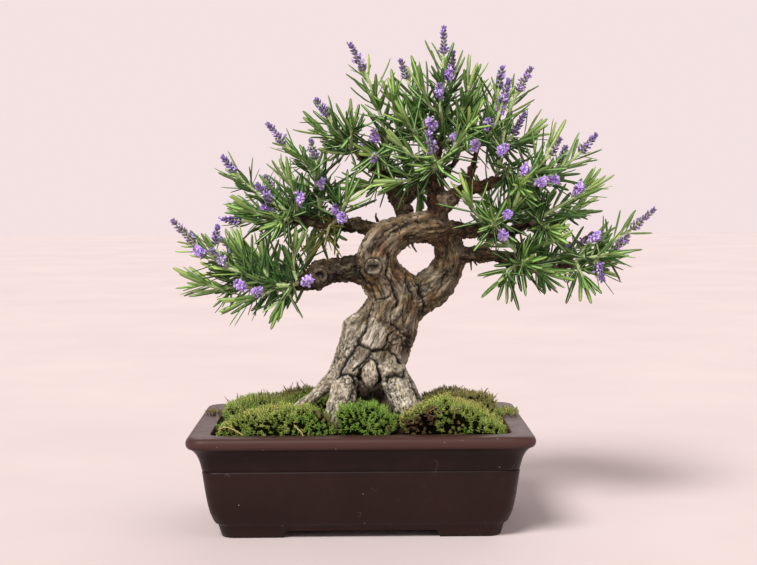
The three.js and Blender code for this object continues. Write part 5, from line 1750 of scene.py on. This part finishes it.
def level(ring, z):
    """A ring of x, y laid at a height"""
    return np.column_stack([ring, np.full(len(ring), float(z))])


def loft(rings):
    """Faces between closed rings of the same number of points, and over the first and last one's middles"""
    points = np.vstack([*rings, [rings[0].mean(axis=0)], [rings[-1].mean(axis=0)]])
    return points, *tube_faces(len(rings), len(rings[0]))


def make_pot():
    """The pot from its profile, with its drain holes cut"""
    first, last = rectangle(POT_PROFILE[0][0]), rectangle(POT_PROFILE[-1][0])
    rings = [level(first * shrink, FLOOR["low"]) for shrink in FLOOR_RINGS]
    for inset, z in POT_PROFILE:
        ring = level(rectangle(inset), z)
        if inset > UNDERSIDE and z < FLOOR["low"]:
            ring[:, 2] = foot_lift(*ring.T)
        rings.append(ring)
    rings += [level(last * shrink, FLOOR["high"]) for shrink in reversed(FLOOR_RINGS)]
    points, quads, tris = loft(rings)
    z = points[:, 2]
    # Painted light on the rim above 56.8 mm and painted shade in the cove from 42.4 mm up to the rim; the
    # wall below the groove is a little lighter than the cove
    rim_light_cove_shade = 0.12 * ease(42.4, 41.6, z) + ease(56.8, 59.5, z)
    pot = mesh_object("basin", points, [(quads, 0), (tris, 0)], {"rim_light_cove_shade": rim_light_cove_shade}, [PLASTIC])
    drains = []
    for x in (-DRAIN["x"], DRAIN["x"]):
        path = np.array([[x, 0, z] for z in DRAIN["heights"]], float)
        points, quads, tris = tube(path, [DRAIN["radius"]] * len(path), 40)
        drain = mesh_object("drain", points, [(quads, 0), (tris, 0)], {}, [PLASTIC])
        drains.append(drain)
        cut = pot.modifiers.new("drain", "BOOLEAN")
        cut.operation = "DIFFERENCE"
        cut.object = drain
        cut.solver = "EXACT"
    bpy.context.view_layer.update()
    cut_mesh = evaluated_mesh(pot)
    pot.modifiers.clear()
    pot.data = cut_mesh
    for drain in drains:
        bpy.data.objects.remove(drain)
    cut_mesh.set_sharp_from_angle(angle=math.radians(50))
    dressed(pot, "pot")


# Soil: its side from the floor up to its top's edge, as (inset, height), and its mound, as (share of the
# way from the middle to the rim, height)
SOIL_PROFILE = [
    (21.4, 13.2), (19.4, 14.5), (18, 17), (15.7, 28), (13.4, 44), (14.1, 52), (14.9, 56.5), (15.2, 58),
]
SOIL_MOUND = [(0, 71.3), (0.55, 66.6), (0.84, 60.6), (1, 58)]
PEBBLES = {"count": 900, "size": (1.0, 2.8)}
# Dry straws on the soil: their points
STRAWS = [
    [(-88, -59, 67.5), (-84.3, -61, 69.4), (-79.2, -64, 68.8), (-72.3, -68, 65.6)],
    [(-40.3, -60, 73.5), (-41.2, -62, 71), (-36.7, -67, 67.2), (-35.4, -72, 65.5)],
]


def pebbles(rng, count):
    """Small rough lumps to strew: points of each, about 1 across, with shared faces"""
    a = (1 + 5**0.5) / 2
    corners = [(-1, a, 0), (1, a, 0), (-1, -a, 0), (1, -a, 0), (0, -1, a), (0, 1, a)]
    corners += [(0, -1, -a), (0, 1, -a), (a, 0, -1), (a, 0, 1), (-a, 0, -1), (-a, 0, 1)]
    faces = [(0, 11, 5), (0, 5, 1), (0, 1, 7), (0, 7, 10), (0, 10, 11)]
    faces += [(1, 5, 9), (5, 11, 4), (11, 10, 2), (10, 7, 6), (7, 1, 8)]
    faces += [(3, 9, 4), (3, 4, 2), (3, 2, 6), (3, 6, 8), (3, 8, 9)]
    faces += [(4, 9, 5), (2, 4, 11), (6, 2, 10), (8, 6, 7), (9, 8, 1)]
    shapes = unit(np.array(corners, float))[None] * rng.uniform(0.32, 0.6, (count, 12, 1))
    return shapes * rng.uniform(0.6, 1.3, (count, 1, 3)), np.array(faces)


def soil_height(x, y):
    """Height of the soil's top: a low mound that drops to the rim"""
    reach = np.maximum(np.abs(x) / (POT["width"] / 2 - 15), np.abs(y) / (POT["depth"] / 2 - 15))
    p = np.column_stack([x, y, np.zeros_like(x)])
    nearest, second, chance = cells(p / 3.4, 91)
    crumbs = (0.7 * chance + 0.5 * ease(0, 0.5, second - nearest)) * ease(1, 0.97, reach)
    return curve(reach, SOIL_MOUND) + 0.7 * noise(p / 9, 93, 2) + crumbs


def make_soil():
    """The soil from its profile and mound, with small pebbles and the straws"""
    rng = np.random.default_rng(5)
    inset, low = SOIL_PROFILE[0]
    rings = [level(rectangle(inset) * 0.5, low)]
    rings += [level(rectangle(inset), z) for inset, z in SOIL_PROFILE]
    top = rectangle(SOIL_PROFILE[-1][0])
    for scale in np.linspace(0.99, 0.03, 60):
        ring = top * scale
        rings.append(np.column_stack([ring, soil_height(ring[:, 0], ring[:, 1])]))
    points, quads, tris = loft(rings)
    body = Body()
    body.add(points, quads, tris, 0)
    count = PEBBLES["count"]
    x = rng.uniform(-1, 1, count) * (POT["width"] / 2 - 17)
    y = rng.uniform(-1, 1, count) * (POT["depth"] / 2 - 17)
    shapes, faces = pebbles(rng, count)
    sizes = rng.uniform(*PEBBLES["size"], count)
    spots = np.column_stack([x, y, soil_height(x, y) + 0.1])
    body.add(spots[:, None] + shapes * sizes[:, None, None], (), faces, 0)
    for straw in STRAWS:
        path = smooth_path(straw, 6)
        body.add(*tube(path, np.full(len(path), 0.36), 6), 1)
    dressed(body.build("earth", [EARTH, STRAW]), "soil")


make_pot()
make_soil()
for node in ("drain_screen_left", "drain_screen_right"):
    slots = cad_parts[node].data.materials
    slots.clear()
    slots.append(MESH)

# Strength of the light from all round, by the sine of its height above the horizon
SKY = {"bright_below": 0.2, "dim_above": 0.55, "bright": 0.98, "dim": 0.25}
# The camera's turns in degrees and its lens in millimetres
CAMERA = {"at": EYE, "yaw": 0.67, "pitch": 3.52, "roll": 0.3, "lens": 75.28}
# Even lights: the side they come from, the width of their source in degrees, strength and tint
LIGHTS = {
    "key": ((-0.45, -0.75, 0.95), 24, 3.4, (1.0, 0.97, 0.93)),
    "fill": ((0.9, -0.5, 0.5), 60, 0.55, (1.0, 0.98, 0.97)),
    "back": ((0.2, 0.9, 0.8), 50, 0.9, (1.0, 0.98, 0.97)),
}
STAGE = {"half": 6.0, "thick": 0.02}  # the floor's sizes in metres


def make_floor():
    """A large plain floor with its top at z = 0"""
    half = STAGE["half"]
    square = ((-half, -half), (half, -half), (half, half), (-half, half))
    corners = [(x, y, z) for z in (-STAGE["thick"], 0) for x, y in square]
    sides = [(i, (i + 1) % 4, (i + 1) % 4 + 4, i + 4) for i in range(4)]
    mesh = bpy.data.meshes.new("floor")
    mesh.from_pydata(corners, [], [(3, 2, 1, 0), (4, 5, 6, 7), *sides])
    mesh.materials.append(floor_look())
    floor = linked("floor", mesh)


def make_lights():
    """The lamps that light the scene from three sides"""
    for name, (toward, softness, strength, tint) in LIGHTS.items():
        light = bpy.data.lights.new(name, "SUN")
        light.angle = math.radians(softness)
        light.energy = strength
        light.color = tint
        lamp = linked(name, light)
        lamp.rotation_euler = Vector(toward).to_track_quat("Z", "Y").to_euler()
        lamp.location = Vector(toward)


def make_camera():
    """The camera where the photo was taken from, turned by yaw, pitch and roll"""
    yaw, pitch, roll = (math.radians(CAMERA[key]) for key in ("yaw", "pitch", "roll"))
    ahead = Vector((math.sin(yaw) * math.cos(pitch), math.cos(yaw) * math.cos(pitch), -math.sin(pitch)))
    right = Vector((math.cos(yaw), -math.sin(yaw), 0))
    up = right.cross(ahead)
    side = right * math.cos(roll) - up * math.sin(roll)
    top = up * math.cos(roll) + right * math.sin(roll)
    data = bpy.data.cameras.new("camera")
    data.lens = CAMERA["lens"]
    camera = linked("camera", data)
    camera.matrix_world = Matrix((side, top, -ahead)).transposed().to_4x4()
    camera.location = metres(CAMERA["at"])
    bpy.context.scene.camera = camera


def make_world():
    """Soft light from all round, brighter towards the horizon"""
    world = bpy.data.worlds.new("world")
    world.use_nodes = True
    tree = world.node_tree
    background = tree.nodes["Background"]
    split = tree.nodes.new("ShaderNodeSeparateXYZ")
    rise = tree.nodes.new("ShaderNodeMapRange")
    rise.interpolation_type = "SMOOTHSTEP"
    ranges = {"From Min": "bright_below", "From Max": "dim_above", "To Min": "bright", "To Max": "dim"}
    for key, value in ranges.items():
        rise.inputs[key].default_value = SKY[value]
    tree.links.new(tree.nodes.new("ShaderNodeTexCoord").outputs["Generated"], split.inputs[0])
    tree.links.new(split.outputs["Z"], rise.inputs["Value"])
    tree.links.new(rise.outputs[0], background.inputs["Strength"])
    background.inputs["Color"].default_value = colour("f6e4e4")
    bpy.context.scene.world = world
    bpy.context.scene.view_settings.view_transform = "Standard"


make_floor()
make_lights()
make_camera()
make_world()
